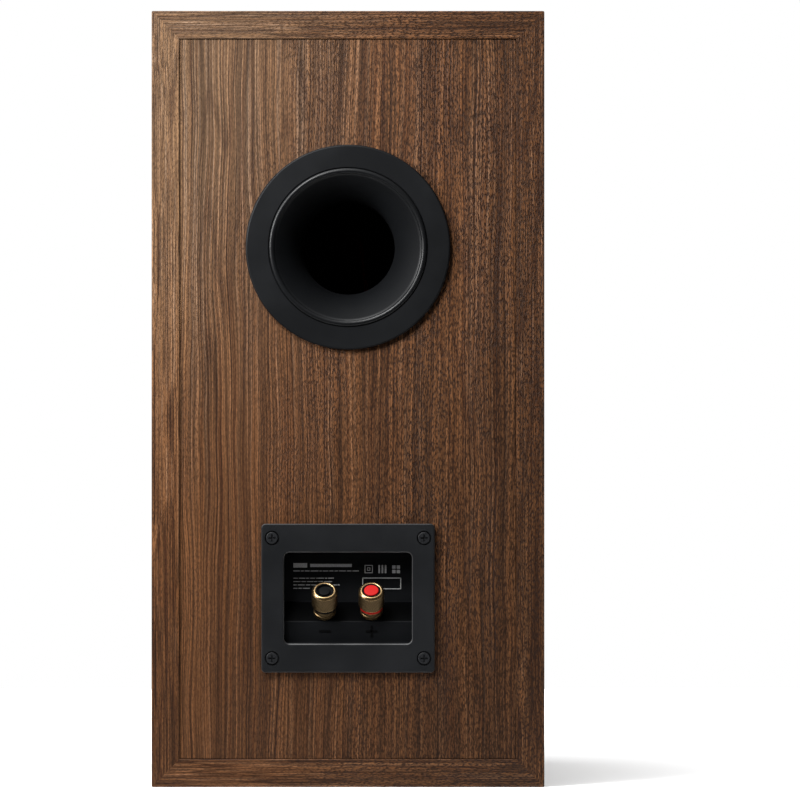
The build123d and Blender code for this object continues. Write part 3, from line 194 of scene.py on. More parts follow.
# ---- materials -----------------------------------------------------------------------------------
class Finish:
    """One material's nodes, added by short calls. Object coordinates are in metres."""

    def __init__(self, name, colour=(0.5, 0.5, 0.5), roughness=0.5, metallic=0.0, **more):
        self.material = bpy.data.materials.new(name)
        self.material.use_nodes = True
        self.tree = self.material.node_tree
        self.shader = self.tree.nodes["Principled BSDF"]
        self.put(self.shader, "Base Color", (*colour, 1.0))
        self.put(self.shader, "Roughness", roughness)
        self.put(self.shader, "Metallic", metallic)
        for socket, value in more.items():
            self.put(self.shader, socket.replace("_", " "), value)
        self.where = self.add("ShaderNodeTexCoord").outputs["Object"]

    def put(self, node, socket, value):
        """Links an output to a socket, or sets the socket's own value."""
        if isinstance(value, bpy.types.NodeSocket):
            self.tree.links.new(value, node.inputs[socket])
        else:
            node.inputs[socket].default_value = value

    def add(self, kind, settings=None, **inputs):
        """Adds a node. Inputs are named, with _ for a space, or numbered as i0, i1 and i2."""
        node = self.tree.nodes.new(kind)
        for key, value in (settings or {}).items():
            setattr(node, key, value)
        for key, value in inputs.items():
            numbered = key[0] == "i" and key[1:].isdigit()
            self.put(node, int(key[1:]) if numbered else key.replace("_", " "), value)
        return node

    def maths(self, operation, a, b=0.0, c=0.0):
        return self.add("ShaderNodeMath", {"operation": operation}, i0=a, i1=b, i2=c).outputs[0]

    def vector(self, operation, a, b=(0.0, 0.0, 0.0)):
        return self.add("ShaderNodeVectorMath", {"operation": operation}, i0=a, i1=b).outputs[0]

    def stretched(self, cell_mm, source=None, offset=(0.0, 0.0, 0.0)):
        """Coordinates in which a cell of the pattern measures cell_mm along X, Y and Z."""
        scale = tuple(1000.0 / size for size in cell_mm)
        mapping = self.add("ShaderNodeMapping", Vector=source or self.where, Scale=scale, Location=offset)
        return mapping.outputs[0]

    def noise(self, cell_mm, detail=2.0, roughness=0.5, source=None, offset=(0.0, 0.0, 0.0)):
        cell_mm = cell_mm if hasattr(cell_mm, "__len__") else (cell_mm,) * 3
        return self.add(
            "ShaderNodeTexNoise", Vector=self.stretched(cell_mm, source, offset), Scale=1.0,
            Detail=detail, Roughness=roughness,
        ).outputs["Fac"]

    def cells(self, cell_mm, feature="F1"):
        cell_mm = cell_mm if hasattr(cell_mm, "__len__") else (cell_mm,) * 3
        return self.add(
            "ShaderNodeTexVoronoi", {"feature": feature}, Vector=self.stretched(cell_mm), Scale=1.0
        ).outputs["Distance"]

    def ramp(self, value, low, high, to_low=0.0, to_high=1.0):
        """Maps low..high smoothly to to_low..to_high, held at both ends."""
        return self.add(
            "ShaderNodeMapRange", {"interpolation_type": "SMOOTHSTEP"}, Value=value,
            **{"From_Min": low, "From_Max": high, "To_Min": to_low, "To_Max": to_high},
        ).outputs["Result"]

    def mix(self, share, a, b, blend="MIX"):
        """Mixes two colours."""
        node = self.add("ShaderNodeMix", {"data_type": "RGBA", "blend_type": blend}, Factor=share)
        for socket, value in ((6, a), (7, b)):
            self.put(node, socket, value if isinstance(value, bpy.types.NodeSocket) else (*value, 1.0))
        return node.outputs[2]

    def colour(self, value):
        self.put(self.shader, "Base Color", value)

    def rough(self, value):
        self.put(self.shader, "Roughness", value)

    def bump(self, height, depth_mm, strength=1.0):
        node = self.add("ShaderNodeBump", Height=height, Distance=depth_mm * MM, Strength=strength)
        self.put(self.shader, "Normal", node.outputs[0])
        return self

    def offset_from(self, centre):
        """Object coordinates measured from a point."""
        return self.vector("SUBTRACT", self.where, tuple(centre))

    def squares(self, a, b):
        """a squared plus b squared."""
        return self.maths("ADD", self.maths("MULTIPLY", a, a), self.maths("MULTIPLY", b, b))

    def reach(self, centre, axis="Y"):
        """Distance from the line through centre along axis, in metres."""
        parts = self.add("ShaderNodeSeparateXYZ", Vector=self.offset_from(centre)).outputs
        a, b = [parts[k] for k in range(3) if "XYZ"[k] != axis]
        return self.maths("SQRT", self.squares(a, b))


def walnut(name, grain, lean, colours, seed=0.0, pitted=0.5):
    """Walnut wrap whose grain runs along one axis and leans a little along another, where the coordinates
    wander. Bands of tone, long fine growth lines and short embossed pores that deepen towards -X. Painted
    shade and light make it darker towards -X, lighter towards +X and a little darker at the foot, and a
    painted greyish sheen pales it towards the top at +X."""
    deep, mean, pale = colours
    f = Finish(name, mean, 0.5, Specular_IOR_Level=0.09)
    along = "XYZ".index(grain)
    shift = (seed, seed * 1.7, seed * 2.3)

    def cell(across, length):
        size = [across] * 3
        size[along] = length
        return size

    drift = f.add(
        "ShaderNodeTexNoise", Vector=f.stretched(cell(30, 150), None, shift), Scale=1.0, Detail=2.0
    ).outputs["Color"]
    wander = f.vector("SUBTRACT", drift, (0.5, 0.5, 0.5))
    furthest = 0.012
    wander = f.vector("MULTIPLY", wander, tuple(furthest * (axis == lean) for axis in "XYZ"))
    where = f.vector("ADD", f.where, wander)

    def strands(across, length, detail=2.0):
        return f.noise(cell(across, length), detail, 0.55, where, shift)

    bands, broad = strands(8, 600), strands(60, 900)
    lines, threads, hairs = strands(2.2, 420, 2.0), strands(1.0, 420), strands(0.6, 140)
    rings = f.maths("PINGPONG", f.maths("MULTIPLY", strands(42, 900, 1.0), 42.0), 1.0)
    pores = f.noise(cell(0.5, 1.8), 1.0, 0.5, where, shift)
    patches = f.noise(cell(20, 90), 2.0, 0.5, where, shift)

    base = f.mix(f.ramp(bands, 0.32, 0.68), tuple(m * 0.74 for m in mean), tuple(m * 1.16 for m in mean))
    base = f.mix(f.ramp(broad, 0.38, 0.62, 0.0, 0.35), base, deep)
    base = f.mix(f.ramp(lines, 0.56, 0.74, 0.0, 0.34), base, pale)
    base = f.mix(f.ramp(threads, 0.55, 0.72, 0.0, 0.34), base, pale)
    base = f.mix(f.ramp(threads, 0.47, 0.33, 0.0, 1.0), base, deep)
    base = f.mix(f.ramp(lines, 0.42, 0.28, 0.0, 0.70), base, deep)
    base = f.mix(f.ramp(rings, 0.40, 0.02, 0.0, 0.55), base, deep)
    sides = f.add("ShaderNodeSeparateXYZ", Vector=f.where).outputs
    fade_low, fade_high = -0.05, 0.07
    pore_depth = f.ramp(sides["X"], fade_low, fade_high, 1.15, 0.36)
    pore_tone = f.maths("MULTIPLY_ADD", f.ramp(pores, 0.34, 0.66, 0.5, -0.5), pore_depth, 1.0)
    tone = f.maths("MULTIPLY", f.ramp(hairs, 0.34, 0.66, 0.54, 1.46), pore_tone)
    # painted shade and light: the tone falls towards -X and rises towards +X, as if lit from +X
    tone = f.maths("MULTIPLY", tone, f.ramp(sides["X"], -0.105, 0.105, 0.60, 1.12))
    # painted shade: the tone falls a little towards the foot
    tone = f.maths("MULTIPLY", tone, f.ramp(sides["Z"], 0.02, 0.20, 0.90, 1.04))
    # painted sheen: green and blue rise towards the top at +X, a greyish highlight painted into the colour
    painted_sheen = f.maths("MULTIPLY", f.ramp(sides["X"], -0.09, 0.105), f.ramp(sides["Z"], 0.05, 0.42))
    green, blue = (f.maths("MULTIPLY", tone, f.ramp(painted_sheen, 0.0, 1.0, 1.0, most)) for most in (1.34, 1.80))
    base = f.mix(1.0, base, f.add("ShaderNodeCombineXYZ", X=tone, Y=green, Z=blue).outputs[0], "MULTIPLY")
    pits = f.maths("MULTIPLY", f.ramp(pores, 0.50, 0.66), f.ramp(patches, 0.40, 0.62, pitted, 1.0))
    pits = f.maths("MULTIPLY", pits, f.ramp(sides["X"], fade_low, fade_high, 1.0, 0.35))
    f.colour(f.mix(f.maths("MULTIPLY", pits, 0.9), base, tuple(c * 0.5 for c in deep)))
    f.rough(f.ramp(hairs, 0.3, 0.7, 0.56, 0.46))
    relief = f.maths("SUBTRACT", f.maths("MULTIPLY", threads, 1.6), f.maths("MULTIPLY", pits, 0.8))
    relief = f.maths("ADD", relief, f.maths("MULTIPLY", hairs, 1.1))
    relief = f.maths("MULTIPLY", relief, f.ramp(sides["X"], fade_low, fade_high, 1.3, 1.0))
    return f.bump(f.maths("MULTIPLY", relief, f.ramp(patches, 0.38, 0.62, 0.6, 1.35)), 0.19, 0.9)


def moulded(name, colour, roughness=0.42, grain_mm=0.35, depth_mm=0.02, shine=0.20, clouding=0.15):
    """Moulded plastic: a fine spark-eroded grain, faint clouding and uneven gloss."""
    f = Finish(name, colour, roughness, Specular_IOR_Level=shine)
    grain = f.noise(grain_mm, 2.0, 0.6)
    cloud = f.noise(30.0, 3.0)
    darker, lighter = (tuple(c * share for c in colour) for share in (1 - clouding, 1 + clouding))
    f.colour(f.mix(f.ramp(cloud, 0.3, 0.7), darker, lighter))
    swing = 0.27 * clouding
    gloss = f.ramp(cloud, 0.3, 0.7, roughness - swing, roughness + swing)
    f.rough(f.maths("ADD", gloss, f.ramp(grain, 0.4, 0.8, 0, 0.1)))
    return f.bump(grain, depth_mm, 0.6)


def gold_plate(name, colour, roughness=0.27, knurl=None):
    """Gold plating over turned brass. With knurl (a Place, the lowest and highest height in millimetres, and
    the count of ridges) painted shade darkens the knurled band, most in the valleys of two families of
    helical waves that cross there."""
    f = Finish(name, colour, roughness, 1.0)
    film, fine = f.noise(5.0, 2.0), f.noise(0.35, 2.0, 0.6)
    tarnish = tuple(c * share for c, share in zip(colour, (0.80, 0.76, 0.68)))
    tone = f.mix(f.ramp(film, 0.35, 0.7), colour, tarnish)
    rough = f.ramp(fine, 0.3, 0.75, roughness - 0.04, roughness + 0.06)
    if knurl:
        place, low, high, count = knurl
        offset = f.offset_from(place.origin)

        def along(way):
            dot = f.add("ShaderNodeVectorMath", {"operation": "DOT_PRODUCT"}, i0=offset, i1=tuple(way / MM))
            return dot.outputs["Value"]

        a, b, height = (along(way) for way in (place.across, place.third, place.axis))
        fade = 0.3
        inside = f.maths(
            "MULTIPLY", f.ramp(height, low, low + fade), f.ramp(height, high - fade, high, 1.0, 0.0)
        )
        core_squared, skin_squared = 38.0, 41.0
        inside = f.maths("MULTIPLY", inside, f.ramp(f.squares(a, b), core_squared, skin_squared))
        angle = f.maths("ARCTAN2", b, a)
        twist = f.maths("DIVIDE", f.maths("SUBTRACT", height, low), KNURL_LEAD)
        waves = [
            f.maths("ABSOLUTE", f.maths("SINE", f.maths("MULTIPLY", f.maths(way, angle, twist), 0.5 * count)))
            for way in ("ADD", "SUBTRACT")
        ]
        ridge = f.ramp(f.maths("MULTIPLY", *waves), 0.15, 0.75)
        # painted shade: the valleys go nearly black and the crests are darkened too
        valley, crest = (tuple(c * share for c in colour) for share in (0.06, 0.62))
        painted_knurl_shade = f.mix(ridge, valley, crest)
        tone = f.mix(inside, tone, painted_knurl_shade)
        rough = f.maths("ADD", rough, f.maths("MULTIPLY", inside, 0.10))
    f.colour(tone)
    f.rough(rough)
    return f.bump(fine, 0.02, 0.4)


def metal(name, colour, roughness, cell_mm, depth_mm=0.02, metallic=1.0, shine=0.5):
    """Bare or plated metal with a directional grain."""
    f = Finish(name, colour, roughness, metallic, Specular_IOR_Level=shine)
    grain = f.noise(cell_mm, 3.0, 0.6)
    f.colour(f.mix(f.ramp(grain, 0.3, 0.7), tuple(c * 0.8 for c in colour), colour))
    f.rough(f.ramp(grain, 0.3, 0.7, roughness - 0.06, roughness + 0.08))
    return f.bump(grain, depth_mm, 0.5)


def spun(name, colour, roughness, centre, pitch_mm):
    """A surface turned on a lathe: fine concentric lines about a line along Y, fading out at the middle."""
    f = Finish(name, colour, roughness, 1.0)
    distance = f.reach(centre)
    count = f.maths("MULTIPLY", distance, 1000.0 / pitch_mm)
    lines = f.add("ShaderNodeTexNoise", {"noise_dimensions": "1D"}, W=count, Scale=1.0, Detail=2.0)
    fade = f.ramp(distance, 0.3 * MM, 3.0 * MM)
    rings = f.maths("MULTIPLY_ADD", f.maths("SUBTRACT", lines.outputs["Fac"], 0.5), fade, 0.5)
    f.colour(f.mix(f.ramp(rings, 0.3, 0.7), tuple(c * 0.82 for c in colour), colour))
    f.rough(f.ramp(rings, 0.3, 0.7, roughness - 0.05, roughness + 0.07))
    return f.bump(rings, 0.01, 0.5)


def speckled(name, one, two, cell_mm, roughness, metallic=0.0, depth_mm=0.05, shine=0.5):
    """Two tones in a fine random mix with a matching relief."""
    f = Finish(name, one, roughness, metallic, Specular_IOR_Level=shine)
    grain = f.noise(cell_mm, 4.0, 0.65)
    f.colour(f.mix(f.ramp(grain, 0.35, 0.65), one, two))
    return f.bump(grain, depth_mm, 0.6)


def foam(name, colour):
    """Open-cell foam: round pits at the cells, with painted shade inside them."""
    f = Finish(name, colour, 0.95)
    pits = f.cells(1.4)
    # painted shade: darker towards the middle of each pit
    f.colour(f.mix(f.ramp(pits, 0.2, 0.7), tuple(c * 0.4 for c in colour), colour))
    return f.bump(pits, 0.8)


def wound(name, colour, centre, pitch_mm, axis="Z"):
    """Enamelled wire wound in layers about a line along axis, with painted shade in the grooves between
    turns.
    """
    f = Finish(name, colour, 0.3, 0.9)
    turns = f.maths("SINE", f.maths("MULTIPLY", f.reach(centre, axis), FULL_TURN / pitch_mm))
    # painted shade: darker where the bump dips between turns
    f.colour(f.mix(f.ramp(turns, -1, 1), tuple(c * 0.45 for c in colour), colour))
    return f.bump(turns, 0.2)


def woven(name, colour, pitch_mm):
    """Coated cloth: crossing threads from the product of two waves, with painted shade where they dip."""
    f = Finish(name, colour, 0.75)
    parts = f.add("ShaderNodeSeparateXYZ", Vector=f.where).outputs
    warp, weft = (f.maths("SINE", f.maths("MULTIPLY", parts[k], FULL_TURN / pitch_mm)) for k in (0, 2))
    weave = f.maths("MULTIPLY", warp, weft)
    # painted shade: darker where the weave is low
    f.colour(f.mix(f.ramp(weave, -1, 1), tuple(c * 0.6 for c in colour), colour))
    return f.bump(weave, 0.1)


# ---- settings ------------------------------------------------------------------------------------
def colour_setting(name, description, default):
    return FloatVectorProperty(
        name=name, description=description, default=default, subtype="COLOR", size=3, min=0.0, max=1.0
    )


def length_setting(name, description, default_mm, low_mm=0.0, high_mm=100.0):
    return FloatProperty(
        name=name, description=description, default=default_mm * MM, min=low_mm * MM, max=high_mm * MM,
        subtype="DISTANCE", unit="LENGTH", precision=5,
    )


def light_setting(name, description, default, unit="NONE"):
    return FloatProperty(name=name, description=description, default=default, min=0.0, unit=unit)


class CabinetSettings(bpy.types.PropertyGroup):
    deep: colour_setting("Deep tone", "Darkest tone of the walnut wrap", (0.026, 0.0095, 0.0035))
    mean: colour_setting("Mean tone", "Usual tone of the walnut wrap", (0.072, 0.0300, 0.0112))
    pale: colour_setting("Pale tone", "Lightest tone of the walnut wrap", (0.150, 0.080, 0.043))
    baffle: colour_setting("Baffle", "Colour of the lacquered front board", (0.012, 0.012, 0.013))


class PortSettings(bpy.types.PropertyGroup):
    plastic: colour_setting("Plastic", "Colour of the port's moulded plastic", (0.0042, 0.0047, 0.0055))


class TraySettings(bpy.types.PropertyGroup):
    plastic: colour_setting("Plastic", "Colour of the terminal tray", (0.0042, 0.0047, 0.0055))
    ink: colour_setting("Ink", "Colour of the printed panel", (0.33, 0.33, 0.33))
    ink_thick: length_setting("Ink thickness", "Thickness of the print on its wall", 0.03, 0.005, 1.0)


class PostSettings(bpy.types.PropertyGroup):
    gold: colour_setting("Gold", "Colour of the plating", (0.245, 0.168, 0.085))
    red: colour_setting("Red", "Colour of the positive post's plastic", (0.27, 0.006, 0.005))
    black: colour_setting("Black", "Colour of the negative post's plastic", (0.0018, 0.0020, 0.0022))
    knurl_depth: length_setting("Knurl depth", "Depth of the knurling on the caps", 0.30, 0.0, 1.0)
    knurl_count: IntProperty(
        name="Knurls", description="Knurl ridges round a cap", default=38, min=8, max=120
    )


class DriverSettings(bpy.types.PropertyGroup):
    cone: colour_setting("Cone", "Colour of the metal cone and domes", (0.34, 0.345, 0.355))
    trim: colour_setting("Trim", "Colour of the trim rings and the waveguide", (0.012, 0.012, 0.013))
    rubber: colour_setting("Rubber", "Colour of the surrounds", (0.012, 0.012, 0.013))


class StageSettings(bpy.types.PropertyGroup):
    distance: length_setting("Camera distance", "From the camera to the rear rim", 4300, 500, 20000)
    aside: length_setting("Camera aside", "How far the camera stands to the right", 27.8, 0, 500)
    height: length_setting("Camera height", "Height of the level camera", 207.0, 0, 2000)
    framed: length_setting("Framed height", "Height of the picture at the rear rim", 427.8, 100, 5000)
    key: light_setting("Key light", "Power of the light beside the cabinet", 1.95, "POWER")
    sheen: light_setting("Sheen light", "Power of the light above the cabinet", 1.6, "POWER")
    front: light_setting("Front light", "Power of the light on the front", 40.0, "POWER")
    sun: light_setting("Overhead light", "Strength of the slanted light on the floor", 1.9)
    fill: light_setting("Fill", "Strength of the light from all round", 0.10)
    zenith: light_setting("Zenith", "Extra strength straight overhead", 2.1)


# ---- the pieces ----------------------------------------------------------------------------------
class SPEAKER_OT_cabinet(bpy.types.Operator):
    """Dress the wrapped boards, the inset back and the lacquered baffle"""

    bl_idname = "speaker.cabinet"
    bl_label = "Cabinet"

    def execute(self, context):
        s = context.scene.speaker_cabinet
        tones = (tuple(s.deep), tuple(s.mean), tuple(s.pale))
        for node, grain, lean, seed, pitted in (
            ("top_panel", "X", "Y", 3.1, 0.8), ("bottom_panel", "X", "Y", 7.7, 0.8),
            ("left_side_panel", "Z", "Y", 12.3, 1.0), ("right_side_panel", "Z", "Y", 17.9, 1.0),
            ("back_panel", "Z", "X", 23.4, 0.3),
        ):
            dress(walnut(f"walnut_{node}", grain, lean, tones, seed, pitted).material, node)
        baffle = moulded("satin_black_lacquer", tuple(s.baffle), 0.38, 0.9, 0.012, clouding=0.03)
        dress(baffle.material, "front_baffle")
        return {"FINISHED"}


class SPEAKER_OT_port(bpy.types.Operator):
    """Dress the port's trim ring, flare and tube"""

    bl_idname = "speaker.port"
    bl_label = "Rear port"

    def execute(self, context):
        s = context.scene.speaker_port
        # painted shade: the trim ring is a darker copy of the port's plastic
        plastic = moulded("port_plastic", tuple(c * 0.55 for c in s.plastic), 0.46, shine=0.09)
        dress(plastic.material, "port_trim_ring")
        # painted shade: the flare down in the port's mouth is darker still
        flare = moulded("flare_plastic", tuple(c * 0.45 for c in s.plastic), 0.46)
        reach = flare.reach(middle("port_flare"))
        bowl, lip = 38.0 * MM, 39.2 * MM
        flare.rough(flare.ramp(reach, bowl, lip, 0.62, 0.36))
        flare.put(flare.shader, "Specular IOR Level", flare.ramp(reach, bowl, lip, 0.05, 0.16))
        dress(flare.material, "port_flare")
        tube = moulded("tube_plastic", (0.004, 0.004, 0.004), 0.6)
        dress(tube.material, "port_tube", "port_inner_flare")
        return {"FINISHED"}


def print_rows():
    """Rectangles (low a, low b, high a, high b) of the plain print: a heading of two bars, rows of short
    dashes whose lengths follow a fixed uneven rhythm, three plain tokens made of squares, and a blank box."""
    left, gap, half = -29.4, 0.55, 0.21
    rows = [(left, 16.0, -22.0, 18.4), (-20.4, 16.3, 2.0, 18.0)]
    rhythm = np.array([3.4, 1.6, 2.6, 4.2, 1.2, 3.0, 2.2, 1.8, 3.8, 2.4])
    levels = ((14.2, 7.2), (10.3, -5.4), (8.5, -8.0), (6.7, -3.8), (4.9, -18.5))
    for turn, (level, stop) in enumerate(levels):
        lengths = np.tile(np.roll(rhythm, turn), 2)
        ends = left + np.cumsum(lengths + gap)
        kept = [(end, size) for end, size in zip(ends, lengths) if end < stop]
        rows += [(end - size - gap, level - half, end - gap, level + half) for end, size in kept]
    line = 0.42
    frames = [(8.8, 13.0, 13.2, 17.4), (10.1, 14.3, 11.9, 16.1), (7.6, 4.4, 28.4, 10.6)]
    for a0, b0, a1, b1 in frames:
        rows += [(a0, b0, a1, b0 + line), (a0, b1 - line, a1, b1)]
        rows += [(a0, b0, a0 + line, b1), (a1 - line, b0, a1, b1)]
    rows += [(16.2 + 1.7 * k, 13.0, 17.1 + 1.7 * k, 17.4) for k in range(3)]
    steps = [(2.4 * k, 2.4 * m) for k in range(2) for m in range(2)]
    rows += [(23.6 + a, 13.0 + b, 25.4 + a, 14.8 + b) for a, b in steps]
    return rows


class SPEAKER_OT_tray(bpy.types.Operator):
    """Dress the terminal tray and its screws, and print its rear wall"""

    bl_idname = "speaker.tray"
    bl_label = "Terminal tray"

    def recess_plastic(self, colour, rear):
        """The tray's plastic with painted shade: a little darker at its face, darker down in the recess and
        darkest on the slope between its two steps. It is also duller down in the recess and glossier on the
        edge of its mouth."""
        f = moulded("tray_plastic", colour, 0.44)
        depth = f.add("ShaderNodeSeparateXYZ", Vector=f.where).outputs["Y"]

        def between(start_mm, end_mm, at_start=0.0, at_end=1.0):
            """Goes from at_start to at_end between two depths below the tray's rear face."""
            return f.ramp(depth, rear - start_mm * MM, rear - end_mm * MM, at_start, at_end)

        base = f.shader.inputs["Base Color"].links[0].from_socket
        # painted shade: copies of the plastic darkened x 0.9 near the face and x 0.6 down in the recess
        below, level = (f.mix(1.0, base, (share,) * 3, "MULTIPLY") for share in (0.6, 0.9))
        # painted shade: the slope between the two steps is painted nearly black
        slope = f.maths("MULTIPLY", between(6.2, 6.8), between(17.0, 16.0))
        f.colour(f.mix(slope, f.mix(between(5.0, 1.0), below, level), tuple(c * 0.12 for c in colour)))
        lip = f.maths("MULTIPLY", between(0.1, 0.3), between(1.0, 0.6))
        gloss = f.maths("MULTIPLY", between(5.0, 1.0, 0.06, 0.16), f.ramp(slope, 0.0, 1.0, 1.0, 0.25))
        f.put(f.shader, "Specular IOR Level", f.maths("ADD", gloss, f.maths("MULTIPLY", lip, 0.5)))
        return f

    def execute(self, context):
        s = context.scene.speaker_tray
        rear = face_y("terminal_tray", True)
        plastic = self.recess_plastic(tuple(s.plastic), rear)
        dress(plastic.material, "terminal_tray", "woofer_terminal")
        screws = metal("black_oxide", (0.006, 0.0065, 0.0075), 0.45, 0.5, 0.01, 0.0, 0.18)
        dress(screws.material, "terminal_screws", "port_screws", "driver_screws", "crossover_screws")
        dress(foam("gasket_foam", (0.02, 0.02, 0.02)).material, "terminal_gasket", "woofer_gasket")
        centre = middle("terminal_tray")
        wall_depth, ledge_depth = 17.0 * MM, 6.0 * MM
        place = Place((centre.x, rear - wall_depth, centre.z), (0, 1, 0), (-1, 0, 0))
        ink = speckled("panel_ink", tuple(s.ink), tuple(c * 0.7 for c in s.ink), 0.6, 0.6, 0.0, 0.005)
        panel = plates("terminal_print", place, print_rows(), s.ink_thick / MM, -0.01)
        finish_piece(panel, "cabinet", ink.material, "tray_plastic")
        marks = Place((centre.x, rear - ledge_depth, centre.z), (0, 1, 0), (-1, 0, 0))
        long, thin, across, level = 3.05, 0.5, 12.5, -17.8
        bars = [
            (-across - long, level - thin, -across + long, level + thin),
            (across - long, level - thin, across + long, level + thin),
            (across - thin, level - long, across + thin, level + long),
        ]
        # painted shade: these near-black plates cover the raised polarity marks and stand in for their shade
        dark, less_dark = (0.0008, 0.0008, 0.0009), (0.0015, 0.0015, 0.0016)
        dull = speckled("mark_plastic", dark, less_dark, 0.5, 0.7, 0.0, 0.005, 0.02)
        signs = plates("polarity_marks", marks, bars, 0.55, -0.1)
        finish_piece(signs, "cabinet", dull.material, "tray_plastic")
        return {"FINISHED"}


def diamond_knurl(depth, count, low, high):
    """Knurling: two families of helical waves crossing, cut depth deep, fading out towards both ends."""

    def shape(angle, radius, height):
        twist = (height - low) / KNURL_LEAD
        waves = np.abs(np.sin(0.5 * count * (angle + twist))) + np.abs(np.sin(0.5 * count * (angle - twist)))
        inside = np.clip(np.minimum(height - low, high - height) / 0.25, 0, 1) * (radius > 6.5)
        return depth * (0.5 * waves - 1.0) * inside

    return shape


class SPEAKER_OT_posts(bpy.types.Operator):
    """Make the binding posts: collars, washers, knurled caps and plugs"""

    bl_idname = "speaker.posts"
    bl_label = "Binding posts"

    def execute(self, context):
        s = context.scene.speaker_posts
        gold = gold_plate("gold_plate", tuple(s.gold)).material
        # painted shade: the collars get a darker copy of the gold plate
        dull_gold = gold_plate("dull_gold", tuple(c * 0.42 for c in s.gold), 0.42).material
        plastics = {}
        for name, tint, shine in (("red", s.red, 0.07), ("black", s.black, 0.035)):
            f = Finish(f"{name}_plastic", tuple(tint), 0.5, Specular_IOR_Level=shine)
            f.bump(f.noise(0.8, 2.0), 0.01, 0.4)
            plastics[name] = f.material
        dress(gold, "negative_post", "positive_post", "post_nuts")
        dress(metal("brass", (0.6, 0.45, 0.2), 0.3, (0.4, 0.4, 3.0)).material, "solder_tags", "stand_inserts")
        bore, foot, rim = 3.06, 6.6, 17.2
        knurl_r, knurl_foot, knurl_top, steps = 6.9, foot + 0.5, 16.0, 60
        plug_low, shank_r, shank_low = 16.0, 2.05, 5.6
        plugs = (("negative", "black", 3.1, 16.8), ("positive", "red", 3.9, 17.45))
        for sign, tint, plug_r, plug_top in plugs:
            joint = JOINTS[f"{sign}_cap_turn"]
            place = Place(joint["pos_m"], joint["axis"])
            collar = rounded_loop([
                (bore, 0.0, 0), (6.0, 0.0, 0.2), (6.0, 2.0, 0.15), (5.45, 2.35, 0.15), (5.45, 2.75, 0.15),
                (6.0, 3.1, 0.15), (6.0, 4.6, 0.35), (bore, 4.6, 0),
            ])
            stands = ("post_collars",) if sign == "negative" else ()
            piece = turned(f"{sign}_collar", place, collar)
            finish_piece(piece, "cabinet", dull_gold, "gold_plating", *stands)
            washer = rounded_loop([(bore, 4.7, 0), (6.3, 4.7, 0.4), (6.3, 6.5, 0.4), (bore, 6.5, 0)])
            piece = turned(f"{sign}_clamp_ring", place, washer)
            slot = f"{tint}_clamp_plastic"
            finish_piece(piece, f"{sign}_clamp", plastics[tint], slot, f"{sign}_washer")
            side = np.stack([np.full(steps, knurl_r), np.linspace(knurl_foot, knurl_top, steps)], 1)
            outline = np.concatenate([
                rounded_loop([(bore, foot, 0), (6.5, foot, 0)]),
                side,
                np.array([(6.82, 16.12), (6.7, 16.3), (6.0, 16.98), (5.85, 17.1), (5.7, rim)]),
                np.array([(5.15, rim), (5.0, 17.16), (4.87, 17.0), (4.83, 16.85)]),
                np.array([(4.83, 15.5), (bore, 15.5)]),
            ])
            shape = diamond_knurl(s.knurl_depth / MM, s.knurl_count, knurl_foot, knurl_top)
            cap = turned(f"{sign}_knurled_cap", place, outline, 448, shape)
            knurl = (place, knurl_foot, knurl_top, s.knurl_count)
            knurled = gold_plate(f"{sign}_knurled_gold", tuple(s.gold), 0.27, knurl).material
            finish_piece(cap, f"{sign}_screw_cap", knurled, "gold_plating", f"{sign}_cap")
            seat = rounded_loop([
                (2.15, 15.52, 0), (4.8, 15.52, 0), (4.8, 17.04, 0.1),
                (4.25, 17.04, 0.1), (4.25, 15.9, 0.1), (2.15, 15.9, 0),
            ])
            piece = turned(f"{sign}_cap_seat", place, seat, 96)
            finish_piece(piece, f"{sign}_screw_cap", plastics["black"], "black_clamp_plastic")
            plug = rounded_loop([
                (0.0, plug_top, 0), (plug_r, plug_top, 0.5), (plug_r, plug_low, 0),
                (shank_r, plug_low, 0), (shank_r, shank_low, 0.3), (0.0, shank_low, 0),
            ])
            piece = turned(f"{sign}_socket_plug", place, plug, 96)
            finish_piece(piece, f"{sign}_plug", plastics[tint], slot, f"{sign}_stopper")
        return {"FINISHED"}


def radial_follow(piece):
    """Bakes a round flexible piece's placement into its points and reads the points out; it ties no points to
    any body."""
    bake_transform(piece)
    count = len(piece.data.vertices)
    points = np.empty(3 * count, np.float32)
    piece.data.vertices.foreach_get("co", points)
    points = points.reshape(-1, 3)


def half_roll(inner, outer, base, rise, thick, flat_in, flat_out):
    """A surround's closed section: two flats joined by a half ellipse of that rise, with an even wall."""
    angle = np.linspace(np.pi, 0, 41)
    mid, half = (inner + outer) / 2, (outer - inner) / 2
    across, up = np.cos(angle), np.sin(angle)
    top = np.stack([mid + (half + thick / 2) * across, base + thick + rise * up], 1)
    under = np.stack([mid + (half - thick / 2) * across, base + (rise - 0.2 * thick) * up], 1)[::-1]
    return np.concatenate([
        [(flat_in, base), (flat_in, base + thick)], top, [(flat_out, base + thick), (flat_out, base)], under,
    ])


def wavy_disc(inner, outer, base, waves, rise, thick, flat):
    """A spider's closed section: a disc whose height is a sine of the radius between two flats."""
    radius = np.concatenate([[inner], np.linspace(inner + flat, outer - flat, 121), [outer]])
    t = np.clip((radius - inner - flat) / (outer - inner - 2 * flat), 0, 1)
    height = base + rise * np.sin(2 * np.pi * waves * t)
    upper = np.stack([radius, height + thick], 1)
    return np.concatenate([upper, np.stack([radius, height], 1)[::-1]])


